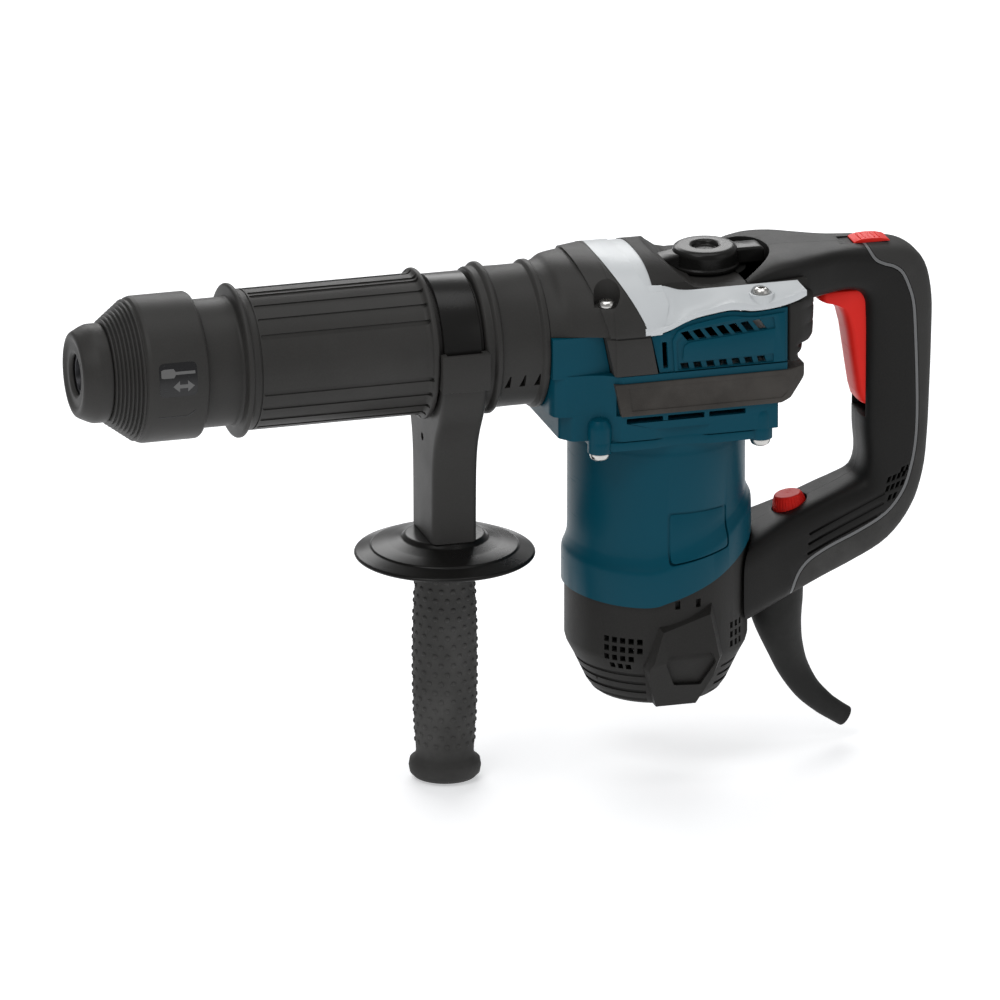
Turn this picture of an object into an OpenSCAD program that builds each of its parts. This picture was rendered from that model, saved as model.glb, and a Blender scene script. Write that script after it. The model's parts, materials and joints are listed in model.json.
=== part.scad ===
// Electric demolition hammer, millimetres.
// The hammer line is the X axis: the socket mouth is the origin, the nose points to -X,
// the rear handle is at +X, and +Z is up.

/* [Nose] */
// Radius of the tool socket
socket_r = 9; // [8.95:0.05:9.05]
// Depth of the tool socket before the anvil's nose
socket_depth = 80; // [76:1:80]
// Outer radius of the tool holder tube
holder_r = 15; // [14.8:0.1:15]
// Outer radius of the locking sleeve
sleeve_r = 38.8; // [38.6:0.1:39]
// Number of rings on the sleeve's cone
sleeve_rings = 6; // [5:1:7]

/* [Barrel] */
// Outer radius of the steel hammer tube
tube_r = 30; // [29.5:0.1:30]
// Bore radius that the anvil, ram and piston run in
tube_bore_r = 17.1; // [17.1:0.05:17.2]
// Outer radius of the grip cover
barrel_r = 37.3; // [37:0.1:38]
// Outer radius of the front flange ring
flange_r = 40.8; // [40:0.1:41]
// Angle between two grooves of the grip cover, in degrees
groove_step = 15; // [12:3:18]

/* [Side handle] */
// Where the side handle's axis stands along the barrel
side_x = 198.4; // [198:0.1:199]
// Level of the guard disc
guard_z = -113.4; // [-114:0.1:-113]
// Radius of the guard disc
guard_r = 48; // [47:0.5:48]
// Lowest point of the side grip
grip_end_z = -242; // [-243:1:-241]

/* [Gear housing] */
// Highest level of the housing
head_top = 43; // [42.5:0.5:43.5]
// Half width of the housing at its widest
head_half = 50; // [49.5:0.5:50]
// Length of the connecting rod between its two bores
rod_length = 62; // [61:0.5:62]
// Throw of the crank pin
crank_throw = 13; // [12:0.5:13]

/* [Motor] */
// Where the motor's axis stands along the hammer
motor_x = 314.5; // [314:0.5:315]
// Radius of the motor housing
motor_r = 46.7; // [46.5:0.1:47]
// Level of the seam between the gear housing and the motor
motor_top = -48; // [-48:0.5:-48]
// Level of the seam between the motor housing and its cap
motor_seam = -143; // [-144:0.5:-142]
// Lowest point of the motor cap
motor_end = -202; // [-203:0.5:-201]

/* [Gears] */
// Gear module
gear_module = 1.25; // [1.25:0.05:1.25]
// Teeth on the motor pinion
pinion_teeth = 10; // [10:1:10]
// Teeth on the crank gear
crank_teeth = 41; // [41:1:41]

/* [Rear handle] */
// Half width of the hand grip
handle_half = 19; // [18.5:0.5:19]
// Wall of the handle shells
handle_wall = 3; // [2.5:0.5:3]
// Thickness of the soft grip
soft_t = 2.2; // [2:0.1:2.4]
// Half width of the trigger
trigger_half = 12; // [11:0.5:12]

/* [Hidden] */
$fn = 96;
eps = 0.02;
big = 400;
run = 0.06;          // running clearance of a shaft in its hole
gap = 0.3;           // clearance between parts that pass each other

// nose
cap_front = -4;
cap_back = 12;
cap_r = 26.2;
cap_mouth_r = 10.8;
sleeve_front = cap_back + gap;
cone_end = 27;
sleeve_end = 61.4;
neck_r = 33.9;
neck_front = 55;
collar_x = 46;
collar_r = 26;
holder_end = 92;
roller_r = 3;
roller_off = 12.5;
roller_x = 30;
roller_len = 14;
tube_front = 50.3;
tube_end = 254;
bush_r = 18;

// barrel stations along X
flange_a = 81;
flange_b = 181.5;
seat_r = 34;
seat_end = 210.6;
rear_cover_end = 250.4;
cover_bore = tube_r + 0.6;

// hammer parts along X
anvil_nose = 84;
anvil_front = 97;
anvil_back = 125;
ram_front = 140;
ram_back = 178;
piston_r = 17;
piston_front = 210;
piston_back = 242;

// side handle
strap_half = 10.5;
bracket_half = 12.2;
strap_in = seat_r + gap;
strap_out = 36.3;
bracket_r = 42;
stem_half = 21;
stem_top = -57;
stem_end = -106;
bolt_r = 5;

// crank and motor
gear_centres = gear_module * (pinion_teeth + crank_teeth) / 2;
crank_x = motor_x - gear_centres;
gear_z = -30;
gear_t = 10;
plate_z = -44;
plate_t = 6;
shaft_r = 5;
crank_shaft_r = 8;
pin_r = 5;
pin_top = -5;
rod_half = 4;
wrist_x = crank_x + crank_throw - rod_length;
core_r = 26.3;
core_z = -112;
core_len = 40;
stator_in = 27;
motor_bore = 43.5;
flare_r = 50.2;
fan_z = -64;
comm_z = -140;
comm_r = 14;
brush_z = -134;

// head
nose_half = 42;
head_front = 250.6;
head_back = 367;
shell_low = -12;
belt_top = -16;
belt_low = -34;
knob_x = 341;
knob_floor = 28;
knob_well_r = 33.5;
wing_in = 36.8;

// rear handle
pull_pivot = [430, 2];
dial_at = [388, -108.2];
dial_tilt = 10;
slider_x = 429.7;
slider_z = 34.8;     // underside of the lock slider
pin_half = 15.6;     // half length of the trigger pin

// boot centreline, radius at each point
boot = [[383, -150, 15], [385, -170, 12.4], [389.6, -185, 8.8], [397, -204.4, 7], [407, -220.2, 6.1],
        [419.6, -230.1, 5.6]];
boot_bore_r = 4.2;

// outline of the handle's outside, front of the top bar round to the motor
handle_out = [[387, 36], [423, 35], [438, 34.4], [448, 32.4], [456, 29], [460.6, 22], [463.4, 12],
              [464, 0], [463.5, -17], [463, -45], [462, -70], [460, -95], [458, -104], [454, -113],
              [446, -124], [435, -132], [420, -139], [391, -151], [352, -165]];
// outline of the hand opening, motor round to the top bar
handle_in = [[352, -122.6], [371.6, -114.8], [412, -98.6], [419.5, -95.2], [424, -90.5],
             [426, -83.5], [424.5, -75], [424.5, 5], [421, 10], [415, 12], [387, 12]];
handle_frame = concat(handle_out, handle_in);
// edge between the hard handle and the soft grip
soft_edge = [[426.6, 40], [426.6, 37], [431, 36], [430, 32], [433.6, 27], [441, 26], [446, 22],
             [450, 11.4], [452, 2], [452.6, -14], [454, -74], [450.7, -83], [447, -101],
             [436, -118], [403, -130], [387, -139], [384, -156]];
soft_zone = concat(soft_edge, [[384, -180], [480, -180], [480, 45], [430, 45]]);

// mitred inset of a closed outline; a positive d moves the edge inwards on a clockwise outline
function unit2(v) = v / norm(v);
function edge_normal(a, b) = let (u = unit2(b - a)) [u[1], -u[0]];
function inset(p, d) = [for (i = [0 : len(p) - 1])
    let (a = p[(i + len(p) - 1) % len(p)], b = p[i], c = p[(i + 1) % len(p)],
         n = edge_normal(a, b), m = edge_normal(b, c), s = n + m)
    b + d * s * 2 / (s * s)];

// ---- helpers ----
// turns a profile of [radius, x] points about the hammer line
module turned_x(points) { rotate([0, 90, 0]) rotate_extrude() polygon(points); }
module tube_x(x0, x1, r_out, r_in) {
    turned_x([[r_in, x0], [r_out, x0], [r_out, x1], [r_in, x1]]);
}
module rod_x(x0, x1, r) { translate([x0, 0, 0]) rotate([0, 90, 0]) cylinder(h = x1 - x0, r = r); }
module ring_z(z0, z1, r_out, r_in) {
    difference() {
        translate([0, 0, z0]) cylinder(h = z1 - z0, r = r_out);
        translate([0, 0, z0 - 1]) cylinder(h = z1 - z0 + 2, r = r_in);
    }
}
module box(x, y, z) { translate([x[0], y[0], z[0]]) cube([x[1] - x[0], y[1] - y[0], z[1] - z[0]]); }
// extrudes an outline in X and Z across the width
module side_slab(points, y0, y1) {
    translate([0, y1, 0]) rotate([90, 0, 0]) linear_extrude(height = y1 - y0) polygon(points);
}
module plan_slab(points, z0, z1) { translate([0, 0, z0]) linear_extrude(height = z1 - z0) polygon(points); }
// extrudes an outline in Y and Z along the hammer
module section_slab(points, x0, x1) {
    translate([x0, 0, 0]) rotate([90, 0, 90]) linear_extrude(height = x1 - x0) polygon(points);
}
module both_sides() { children(); mirror([0, 1, 0]) children(); }

// spring along Z as one swept mesh
module coil_spring(r, wire, length, turns) {
    steps = turns * 16;
    sides = 8;
    pts = [for (i = [0 : steps]) for (k = [0 : sides - 1])
        let (a = 360 * turns * i / steps, b = 360 * k / sides, rr = r + wire * cos(b))
        [rr * cos(a), rr * sin(a), wire + (length - 2 * wire) * i / steps + wire * sin(b)]];
    walls = [for (i = [0 : steps - 1]) for (k = [0 : sides - 1])
        let (p = i * sides + k, q = i * sides + (k + 1) % sides)
        each [[p, q, p + sides], [q, q + sides, p + sides]]];
    ends = [[for (k = [sides - 1 : -1 : 0]) k], [for (k = [0 : sides - 1]) steps * sides + k]];
    polyhedron(points = pts, faces = concat(walls, ends));
}

// ---- gear outline ----
pressure_angle = 20;
function inv_deg(a) = tan(a) * 180 / PI - a;
function flank_deg(r, rb) = r <= rb ? 0 : inv_deg(acos(rb / r));
function tooth_half(r, z, play) = let (rp = gear_module * z / 2, rb = rp * cos(pressure_angle))
    90 / z + inv_deg(pressure_angle) - flank_deg(r, rb) - play / r * 180 / PI;
function gear_points(z, turn, add, ded, play) =
    let (rp = gear_module * z / 2, r0 = rp - ded, r1 = rp + add, n = 4)
    [for (t = [0 : z - 1]) each concat(
        [for (i = [0 : n]) let (r = r0 + (r1 - r0) * i / n, a = turn + t * 360 / z - tooth_half(r, z, play))
            [r * cos(a), r * sin(a)]],
        [for (i = [n : -1 : 0]) let (r = r0 + (r1 - r0) * i / n, a = turn + t * 360 / z + tooth_half(r, z, play))
            [r * cos(a), r * sin(a)]])];
tooth_play = 0.1;
pinion_add = gear_module * 0.9;
pinion_ded = gear_module * 1.1;
crank_add = gear_module * 0.75;
crank_ded = gear_module * 1.2;

// ---- nose ----
module tool_holder() {
    color("silver") difference() {
        union() {
            rod_x(0, holder_end, holder_r);
            rod_x(collar_x, collar_x + 3.7, collar_r);
        }
        rod_x(-1, socket_depth, socket_r);
        rod_x(socket_depth, holder_end + 1, socket_r + 0.6);
        both_sides() {
            box([roller_x - gap, roller_x + roller_len + gap], [socket_r + 1.4, 20], [-3.2, 3.2]);
            box([roller_x - gap, roller_x + roller_len + gap], [5, 20], [-2.5, 2.5]);
        }
    }
}

module dust_cap() {
    color("#2b2b2a") turned_x([
        [cap_mouth_r, cap_front + 2], [cap_mouth_r + 4, cap_front + 1], [cap_mouth_r + 8, cap_front + 1.4],
        [20.4, cap_front], [22, cap_front + 0.6], [25.6, 3], [cap_r, 4.6], [cap_r, cap_back],
        [holder_r + run, cap_back], [holder_r + run, -gap], [cap_mouth_r, -gap]]);
}

module locking_rollers() {
    color("silver") both_sides()
        translate([roller_x, roller_off, 0]) rotate([0, 90, 0]) cylinder(h = roller_len, r = roller_r);
}

module sleeve_spring() {
    color("gray") translate([26.3, 0, 0]) rotate([0, 90, 0]) coil_spring(21, 1, 19.4, 4);
}

module locking_sleeve() {
    pitch = (cone_end - sleeve_front) / sleeve_rings;
    slope = (sleeve_r - 0.8 - cap_r) / sleeve_rings;
    rings = [for (i = [0 : sleeve_rings - 1]) each
        [[cap_r + slope * (i + 0.9), sleeve_front + pitch * i],
         [cap_r + slope * (i + 0.9), sleeve_front + pitch * (i + 0.7)],
         [cap_r + slope * (i + 0.3), sleeve_front + pitch * (i + 0.74)],
         [cap_r + slope * (i + 0.3), sleeve_front + pitch * (i + 1)]]];
    color("#333333") turned_x(concat([[16, sleeve_front]], rings, [
        [sleeve_r - 1.2, cone_end], [sleeve_r - 1.2, cone_end + 1.6], [sleeve_r, cone_end + 2.2],
        [sleeve_r, 57.5], [35.6, sleeve_end - 0.4], [neck_r + 0.5, sleeve_end],
        [neck_r + 0.5, 42], [30, 40], [30, 26], [16, 26]]));
}

// ---- hammer tube and covers ----
module hammer_tube() {
    color("silver") turned_x([
        [bush_r + 0.05, tube_front], [tube_r, tube_front + 3], [tube_r, tube_end],
        [tube_bore_r, tube_end], [tube_bore_r, holder_end + 1], [bush_r + 0.05, holder_end + 1]]);
}

module spindle_bush() {
    color("peru") tube_x(tube_front + 0.2, holder_end, bush_r, holder_r + run);
}

module front_grip_cover() {
    color("#333333") difference() {
        turned_x([
            [cover_bore, neck_front], [neck_r - 1, neck_front], [neck_r, neck_front + 1], [neck_r, flange_a - 1],
            [flange_r - 1, flange_a], [flange_r, flange_a + 1], [flange_r, flange_a + 2.5],
            [barrel_r + 0.4, flange_a + 3.6], [barrel_r, flange_a + 4.6],
            [barrel_r, flange_b - 1.2], [flange_r - 1.6, flange_b], [flange_r - 0.8, flange_b + 0.8],
            [flange_r - 0.8, flange_b + 2.6], [flange_r - 1.8, flange_b + 3.5],
            [seat_r, flange_b + 3.5], [seat_r, seat_end], [cover_bore, seat_end]]);
        for (a = [groove_step / 2 : groove_step : 360]) rotate([a, 0, 0])
            box([flange_a + 7, flange_b - 9], [-1, 1], [barrel_r - 1, barrel_r + 3]);
    }
}

module rear_barrel_cover() {
    color("#333333") difference() {
        turned_x([
            [cover_bore, seat_end + gap], [37.6, seat_end + gap], [38, seat_end + 1], [38, 215.4],
            [39.2, 216], [40, 216.8], [40, 218.6], [39, 219.5], [37, 220],
            [37, 246.6], [38.4, 247], [39.2, 247.8], [39.2, rear_cover_end], [cover_bore, rear_cover_end]]);
        both_sides() for (i = [0 : 3]) rotate([-14 - 7 * (i % 2), 0, 0])
            translate([224 + 6 * i, 0, 0]) rotate([-90, 0, 0]) cylinder(h = 60, r = 1.9, $fn = 3);
    }
}

// ---- side handle ----
module handle_strap() {
    color("silver") difference() {
        union() {
            tube_x(side_x - strap_half, side_x + strap_half, strap_out, strap_in);
            both_sides() box([side_x - strap_half + 1, side_x + strap_half - 1], [35.9, 39.5], [-6, 2]);
        }
        rod_x(side_x - 30, side_x + 30, strap_in);
    }
}

module handle_bracket() {
    // side of the stem, from the saddle down to where it runs straight
    flare = [for (i = [0 : 8]) let (a = i * 90 / 8)
        [stem_half + (bracket_r - 0.6 - stem_half) * (1 - sin(a)), stem_top + 39 * pow(cos(a), 2)]];
    color("#333333") difference() {
        union() {
            intersection() {
                rod_x(side_x - bracket_half, side_x + bracket_half, bracket_r);
                box([100, 300], [-60, 60], [-60, 4]);
            }
            section_slab(concat([[bracket_r - 0.6, -4]], flare, [[stem_half, stem_end], [-stem_half, stem_end]],
                [for (i = [8 : -1 : 0]) [-flare[i][0], flare[i][1]]], [[-bracket_r + 0.6, -4]]),
                side_x - bracket_half, side_x + bracket_half);
        }
        rod_x(side_x - 30, side_x + 30, strap_out + 0.05);
        both_sides() box([side_x - strap_half + 0.8, side_x + strap_half - 0.8], [35, 39.7], [-6.2, 10]);
        translate([side_x, 0, -130]) cylinder(h = 80, r = bolt_r + run);
        translate([side_x, 0, -72]) cylinder(h = 12, r = 9, $fn = 6);
        translate([side_x - 20, 0, -92]) rotate([0, 90, 0]) cylinder(h = 14, r = 2);
    }
}

module handle_bolt() {
    color("silver") translate([side_x, 0, 0]) {
        translate([0, 0, -150]) cylinder(h = 80, r = bolt_r);
        translate([0, 0, -71.8]) cylinder(h = 7, r = 8.6, $fn = 6);
    }
}

module guard_disc() {
    rise = guard_z - 5;
    color("#2b2b2a") translate([side_x, 0, 0]) rotate_extrude() polygon([
        [bolt_r + run, -117.4], [17, -117.4], [30, -116.4], [guard_r - 2, rise], [guard_r, rise + 1.2],
        [guard_r - 0.6, rise + 2.6], [37.4, guard_z + 1.6], [36, guard_z + 3], [22, stem_end - 1.2],
        [22, stem_end - gap], [bolt_r + run, stem_end - gap]]);
}

module side_grip() {
    color("#333333") translate([side_x, 0, 0]) difference() {
        rotate_extrude() polygon([
            [0, -117.6], [14.6, -117.6], [15, -124], [15.3, -131], [16.2, -145], [16.6, -156],
            [16.8, -172], [16.7, -190], [16.3, -208], [15.3, grip_end_z + 13], [15.6, grip_end_z + 11.4],
            [18.4, grip_end_z + 9], [19.2, grip_end_z + 6], [18.8, grip_end_z + 3],
            [16.8, grip_end_z + 0.6], [14, grip_end_z], [0, grip_end_z]]);
        translate([0, 0, -152]) cylinder(h = 60, r = bolt_r + run);
    }
}

// ---- head shells ----
head_plan = [[head_front, -nose_half], [274, -nose_half - 0.6], [283, -head_half], [400, -head_half],
             [400, head_half], [283, head_half], [274, nose_half + 0.6], [head_front, nose_half]];
head_half_section = [[0, head_top], [20, head_top], [27, head_top - 1.6], [33, head_top - 5.4],
                     [38.5, 32], [44, 25.6], [48, 19.4], [50, 13], [head_half, 8]];
module head_envelope(low) {
    intersection() {
        plan_slab(head_plan, low, 60);
        section_slab(concat(head_half_section, [[head_half, low - 1], [-head_half, low - 1]],
            [for (i = [len(head_half_section) - 1 : -1 : 1]) [-head_half_section[i][0], head_half_section[i][1]]]),
            200, big);
    }
}
// room inside the head for the crank, the rod and the gears
module head_room(low, top) {
    plan_slab([[head_front + 3.6, -37.8], [274, -37.8], [284, -wing_in], [363, -wing_in],
               [363, wing_in], [284, wing_in], [274, 37.8], [head_front + 3.6, 37.8]], low, top);
}
// lower edge of the trim's wing, which the vent panel follows
trim_lower = [[296.3, 9.4], [307, 11], [316, 15.7], [328, 18.1], [340, 19.5], [352, 17.9], [362, 18.3],
              [371, 19.3], [380, 21]];
shell_screw = [276, 38, 24];
trim_screw = [359, 43.4, 21.6];

module screw_z(x, y, z, head_r, shank_r, shank) {
    translate([x, y, 0]) {
        difference() {
            translate([0, 0, z]) cylinder(h = 3.4, r = head_r);
            translate([0, 0, z + 1.4]) cylinder(h = 3, r = head_r * 0.5, $fn = 6);
        }
        translate([0, 0, z - shank]) cylinder(h = shank, r = shank_r);
    }
}

module top_front_shell() {
    color("#333333") difference() {
        intersection() {
            head_envelope(-20);
            side_slab([[head_front, 9], [head_front, 38], [254, 41.6], [258, head_top + 1],
                [278, head_top + 1], [296, 9.4], [301, shell_low], [277, shell_low], [273, 9.4]], -60, 60);
        }
        head_room(-30, 24);
        rod_x(240, 260, tube_r + 0.1);
        both_sides() {
            translate([shell_screw[0], shell_screw[1], shell_screw[2]]) cylinder(h = 30, r = 7);
            translate([shell_screw[0], shell_screw[1], 0]) cylinder(h = 30, r = 2.3);
        }
        // step along the cheek
        both_sides() side_slab([[head_front - 1, 50], [262, 50], [275, 9], [head_front - 1, 9]], head_half - 9.2, 70);
    }
}

module trim_band() {
    color("#d6dbde") difference() {
        intersection() {
            head_envelope(0);
            side_slab(concat([[278.3, head_top + 1], [301, head_top + 1], [311.5, 31.5], [377, 31.5]],
                [for (i = [8 : -1 : 0]) trim_lower[i]]), -60, 60);
        }
        head_room(-30, 24);
        // the wings leave the middle to the top cover
        box([300.8, big], [-wing_in - 0.1, wing_in + 0.1], [0, 60]);
        both_sides() {
            translate([trim_screw[0], trim_screw[1], trim_screw[2] + 3]) cylinder(h = 30, r = 5.4);
            translate([trim_screw[0], trim_screw[1], 0]) cylinder(h = 40, r = 2.3);
        }
    }
}

module top_cover() {
    color("#333333") difference() {
        union() {
            side_slab([[301, 22], [301, head_top], [321, knob_floor], [386, knob_floor], [386, 22]],
                -wing_in, wing_in);
            side_slab([[344, 22], [344, 31.5], [378, 31.5], [379.5, 36], [386, 36], [386, 22]], -wing_in, wing_in);
        }
        translate([knob_x, 0, knob_floor]) cylinder(h = 30, r = knob_well_r);
        translate([knob_x, 0, 0]) cylinder(h = 40, r = 8 + run);
        box([302.5, 386.2], [-34, 34], [10, 24.4]);
        // shoulders of the front slope follow the head's rounded corners
        both_sides() section_slab([[20, head_top + 5], [20, head_top], [27, head_top - 1.6],
            [33, head_top - 5.4], [38.5, 32], [60, 32], [60, head_top + 5]], 290, 330);
    }
}

module rear_housing() {
    color("#2f2e2d") difference() {
        plan_slab([[372.4, -head_half + 0.6], [382, -head_half + 0.6], [387, -44], [390, -34], [390, 34],
                   [387, 44], [382, head_half - 0.6], [372.4, head_half - 0.6]], shell_low, 21.6);
        box([360, 386.6], [-34, 34], [-30, 18]);
        box([386, 400], [-34, 34], [12 - 0.1, 50]);
        box([360, 381], [-60, 60], [18.6, 40]);
    }
}

module gear_housing() {
    color("#14556e") difference() {
        union() {
            plan_slab([[head_front, -nose_half], [274, -nose_half - 0.6], [282, -head_half + 0.4], [367, -head_half + 0.4],
                       [367, head_half - 0.4], [282, head_half - 0.4], [274, nose_half + 0.6], [head_front, nose_half]],
                motor_top, belt_low);
            plan_slab([[head_front, -nose_half], [274, -nose_half - 0.6], [280, -46.6], [372, -46.6],
                       [372, 46.6], [280, 46.6], [274, nose_half + 0.6], [head_front, nose_half]], belt_low, shell_low);
            side_slab([[head_front, shell_low], [head_front, 8.8], [272.6, 8.8], [276.6, shell_low]], -nose_half, nose_half);
            // blue line above the belt
            plan_slab([[281, -head_half + 0.2], [372, -head_half + 0.2], [372, head_half - 0.2], [281, head_half - 0.2]],
                belt_top, shell_low);
            for (x = [motor_x - 44, motor_x + 44]) both_sides()
                translate([x, 44, motor_top]) cylinder(h = 14, r = 5.6);
        }
        difference() {
            head_room(-60, 20);
            for (x = [motor_x - 44, motor_x + 44]) both_sides()
                translate([x, 44, motor_top - 2]) cylinder(h = 16, r = 5.6);
        }
        rod_x(240, 260, tube_r + 0.1);
        both_sides() {
            for (x = [motor_x - 44, motor_x + 44]) translate([x, 44, -60]) cylinder(h = 24, r = 2.1);
            // cooling slots in the lower flank
            for (i = [0 : 2]) box([283.4 + 22.4 * i, 304 + 22.4 * i], [30, 60], [-38.2, -35.6]);
        }
    }
}

module side_vent() {
    top = [for (i = [0 : 7]) [max(trim_lower[i][0] + 0.4, 297), trim_lower[i][1] - 0.9]];
    plate = [for (p = top) [min(p[0] + 6, 369), p[1] - 3]];
    color("#14556e") difference() {
        union() {
            side_slab(concat(top, [[371.8, 18.6], [371.8, shell_low + 0.1], [301.6, shell_low + 0.1]]),
                46, head_half - 1.4);
            side_slab(concat([[303, shell_low + 2], [303, 5]], [for (i = [1 : 7]) plate[i]],
                [[369, shell_low + 2]]), 46, head_half);
        }
        box([304.4, 306.6], [30, 60], [-8, 3]);
        for (i = [0 : 6]) side_slab([[318 + 7 * i, 5.6], [321.2 + 7 * i, 5.6], [324.2 + 7 * i, 12.4],
            [321 + 7 * i, 12.4]], 40, 60);
        for (i = [0 : 7]) box([316 + 6.8 * i, 319.4 + 6.8 * i], [40, 60], [-9.4, -5]);
    }
}
module side_vent_left() { mirror([0, 1, 0]) side_vent(); }
module side_vent_right() { side_vent(); }

module bumper_belt() {
    color("#3d3a38") intersection() {
        difference() {
            plan_slab([[279, -51], [376, -51], [383, -47], [383, 47], [376, 51], [279, 51]], belt_low + 0.1, belt_top - 0.1);
            plan_slab([[270, -46.8], [372.2, -46.8], [372.2, 46.8], [270, 46.8]], belt_low - 1, belt_top + 1);
        }
        side_slab([[279, belt_top], [281.6, belt_low], [371, belt_low], [383.2, -20], [383.2, belt_top]], -60, 60);
    }
}

module gear_plate() {
    color("silver") difference() {
        intersection() {
            head_room(plate_z, plate_z + plate_t);
            box([255, 362.6], [-36.6, 36.6], [-60, 0]);
        }
        translate([motor_x, 0, -60]) cylinder(h = 40, r = 13.05);
        translate([crank_x, 0, -60]) cylinder(h = 40, r = 16.05);
    }
}

module crank_bearing() { color("lightgray") translate([crank_x, 0, 0]) ring_z(plate_z, -35, 16, crank_shaft_r + run); }
module upper_bearing() { color("lightgray") translate([motor_x, 0, 0]) ring_z(plate_z, -36, 13, shaft_r + run); }
module lower_bearing() { color("lightgray") translate([motor_x, 0, 0]) ring_z(-190, -182, 13, shaft_r + run); }

// ---- motor ----
module motor_housing() {
    color("#14556e") translate([motor_x, 0, 0]) difference() {
        union() {
            rotate_extrude() polygon([
                [motor_bore, motor_top], [motor_r, motor_top], [motor_r, -116], [motor_r + 1, -122],
                [flare_r - 0.6, -129], [flare_r, -131], [flare_r, motor_seam], [motor_bore, motor_seam]]);
            difference() {
                plan_slab([[-48, -44], [-42, -49.6], [42, -49.6], [51.5, -42], [51.5, 42], [42, 49.6], [-42, 49.6],
                           [-48, 44]], motor_top - 5, motor_top);
                translate([0, 0, -70]) cylinder(h = 60, r = motor_r - 1);
            }
            for (x = [-44, 44]) both_sides() translate([x, 44, motor_top - 6]) cylinder(h = 6, r = 6.4);
        }
        translate([0, 0, -160]) cylinder(h = 140, r = motor_bore);
        for (x = [-44, 44]) both_sides() translate([x, 44, -70]) cylinder(h = 40, r = 2.1);
        // label recess towards the rear on the near side
        rotate([0, 0, -58]) box([motor_r - 0.9, 60], [-17, 17], [-104, -72]);
    }
}

cap_profile = [[48.5, motor_seam - 0.1], [48.5, -172.4], [47.6, -175], [44, -181], [34.6, -200], [33, motor_end]];
module motor_cap() {
    color("#2b2b2a") translate([motor_x, 0, 0]) difference() {
        union() {
            difference() {
                rotate_extrude() polygon(concat([[0, motor_seam - 0.1]], cap_profile, [[0, motor_end]]));
                rotate_extrude() polygon([[0, motor_seam + 5], [45, motor_seam + 5], [45, -171.6], [44.2, -173.6],
                    [41, -179.6], [31.6, -198.4], [0, -198.4]]);
            }
            translate([0, 0, -199]) cylinder(h = 17, r = 17);
            // wear pad
            rotate([0, 0, -70]) side_slab([[36, -197], [40.8, -192], [46, -182], [50, -173.6], [50, -165], [44, -165],
                [38, -180], [32, -197]], -16, 16);
        }
        translate([0, 0, -190]) cylinder(h = 20, r = 13.05);
        translate([0, 0, -196]) cylinder(h = 40, r = shaft_r + 1);
        // grid of small vents
        for (row = [0 : 3]) for (c = [0 : 4 - max(0, row - 1)])
            rotate([0, 0, 180 + 28 + 7 * c]) box([40, 60], [-1.5, 1.5], [-153 - 6 * row, -150 - 6 * row]);
        for (s = [0 : 2]) for (c = [0 : 8]) rotate([0, 0, 40 + 10 * c])
            box([40, 60], [-1.8, 1.8], [-154 - 7 * s, -150 - 7 * s]);
    }
}

module stator() {
    color("dimgray") translate([motor_x, 0, 0]) ring_z(core_z, core_z + core_len, motor_bore - 0.1, stator_in);
}
module field_coils() {
    color("peru") translate([motor_x, 0, 0]) {
        ring_z(core_z - 5.1, core_z - 0.1, 41, 30);
        ring_z(core_z + core_len + 0.1, core_z + core_len + 5.1, 41, 30);
    }
}
module brush_holders() {
    color("goldenrod") translate([motor_x, 0, 0]) both_sides() difference() {
        box([-8, 8], [16.5, motor_bore - 1.5], [brush_z - 5, brush_z + 5]);
        box([-5.1, 5.1], [10, 38], [brush_z - 3.1, brush_z + 3.1]);
    }
}
module carbon_brushes() {
    color("#222222") translate([motor_x, 0, 0]) both_sides()
        box([-5, 5], [comm_r + gap, 30], [brush_z - 3, brush_z + 3]);
}
module armature_shaft() {
    color("silver") translate([motor_x, 0, -192]) cylinder(h = 192 - 31, r = shaft_r);
}
module armature_core() {
    color("gray") translate([motor_x, 0, 0]) difference() {
        ring_z(core_z, core_z + core_len, core_r, shaft_r + eps);
        for (a = [0 : 30 : 330]) rotate([0, 0, a]) box([core_r - 5, core_r + 3], [-1, 1], [core_z - 1, core_z + core_len + 1]);
    }
}
module commutator() {
    color("#b87333") translate([motor_x, 0, 0]) difference() {
        ring_z(comm_z, comm_z + 12, comm_r, shaft_r + eps);
        for (a = [0 : 20 : 340]) rotate([0, 0, a]) box([comm_r - 0.8, comm_r + 1], [-0.3, 0.3], [comm_z - 1, comm_z + 13]);
    }
}
module cooling_fan() {
    color("#444444") translate([motor_x, 0, 0]) {
        ring_z(fan_z, fan_z + 2, 40, shaft_r + eps);
        for (a = [0 : 36 : 324]) rotate([0, 0, a]) box([12, 38], [-0.8, 0.8], [fan_z + 1.9, fan_z + 9]);
    }
}
module motor_pinion() {
    color("silver") translate([motor_x, 0, gear_z - 1]) linear_extrude(height = gear_t + 1.5)
        polygon(gear_points(pinion_teeth, 0, pinion_add, pinion_ded, tooth_play));
}

// ---- crank train ----
module crank_gear() {
    color("silver") translate([crank_x, 0, 0]) {
        translate([0, 0, gear_z]) linear_extrude(height = gear_t)
            polygon(gear_points(crank_teeth, 180 / crank_teeth, crank_add, crank_ded, tooth_play));
        translate([0, 0, plate_z - 1]) cylinder(h = gear_z - plate_z + 2, r = crank_shaft_r);
        translate([crank_throw, 0, gear_z + gear_t - 1]) cylinder(h = pin_top - gear_z - gear_t + 1, r = pin_r);
    }
}

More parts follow.
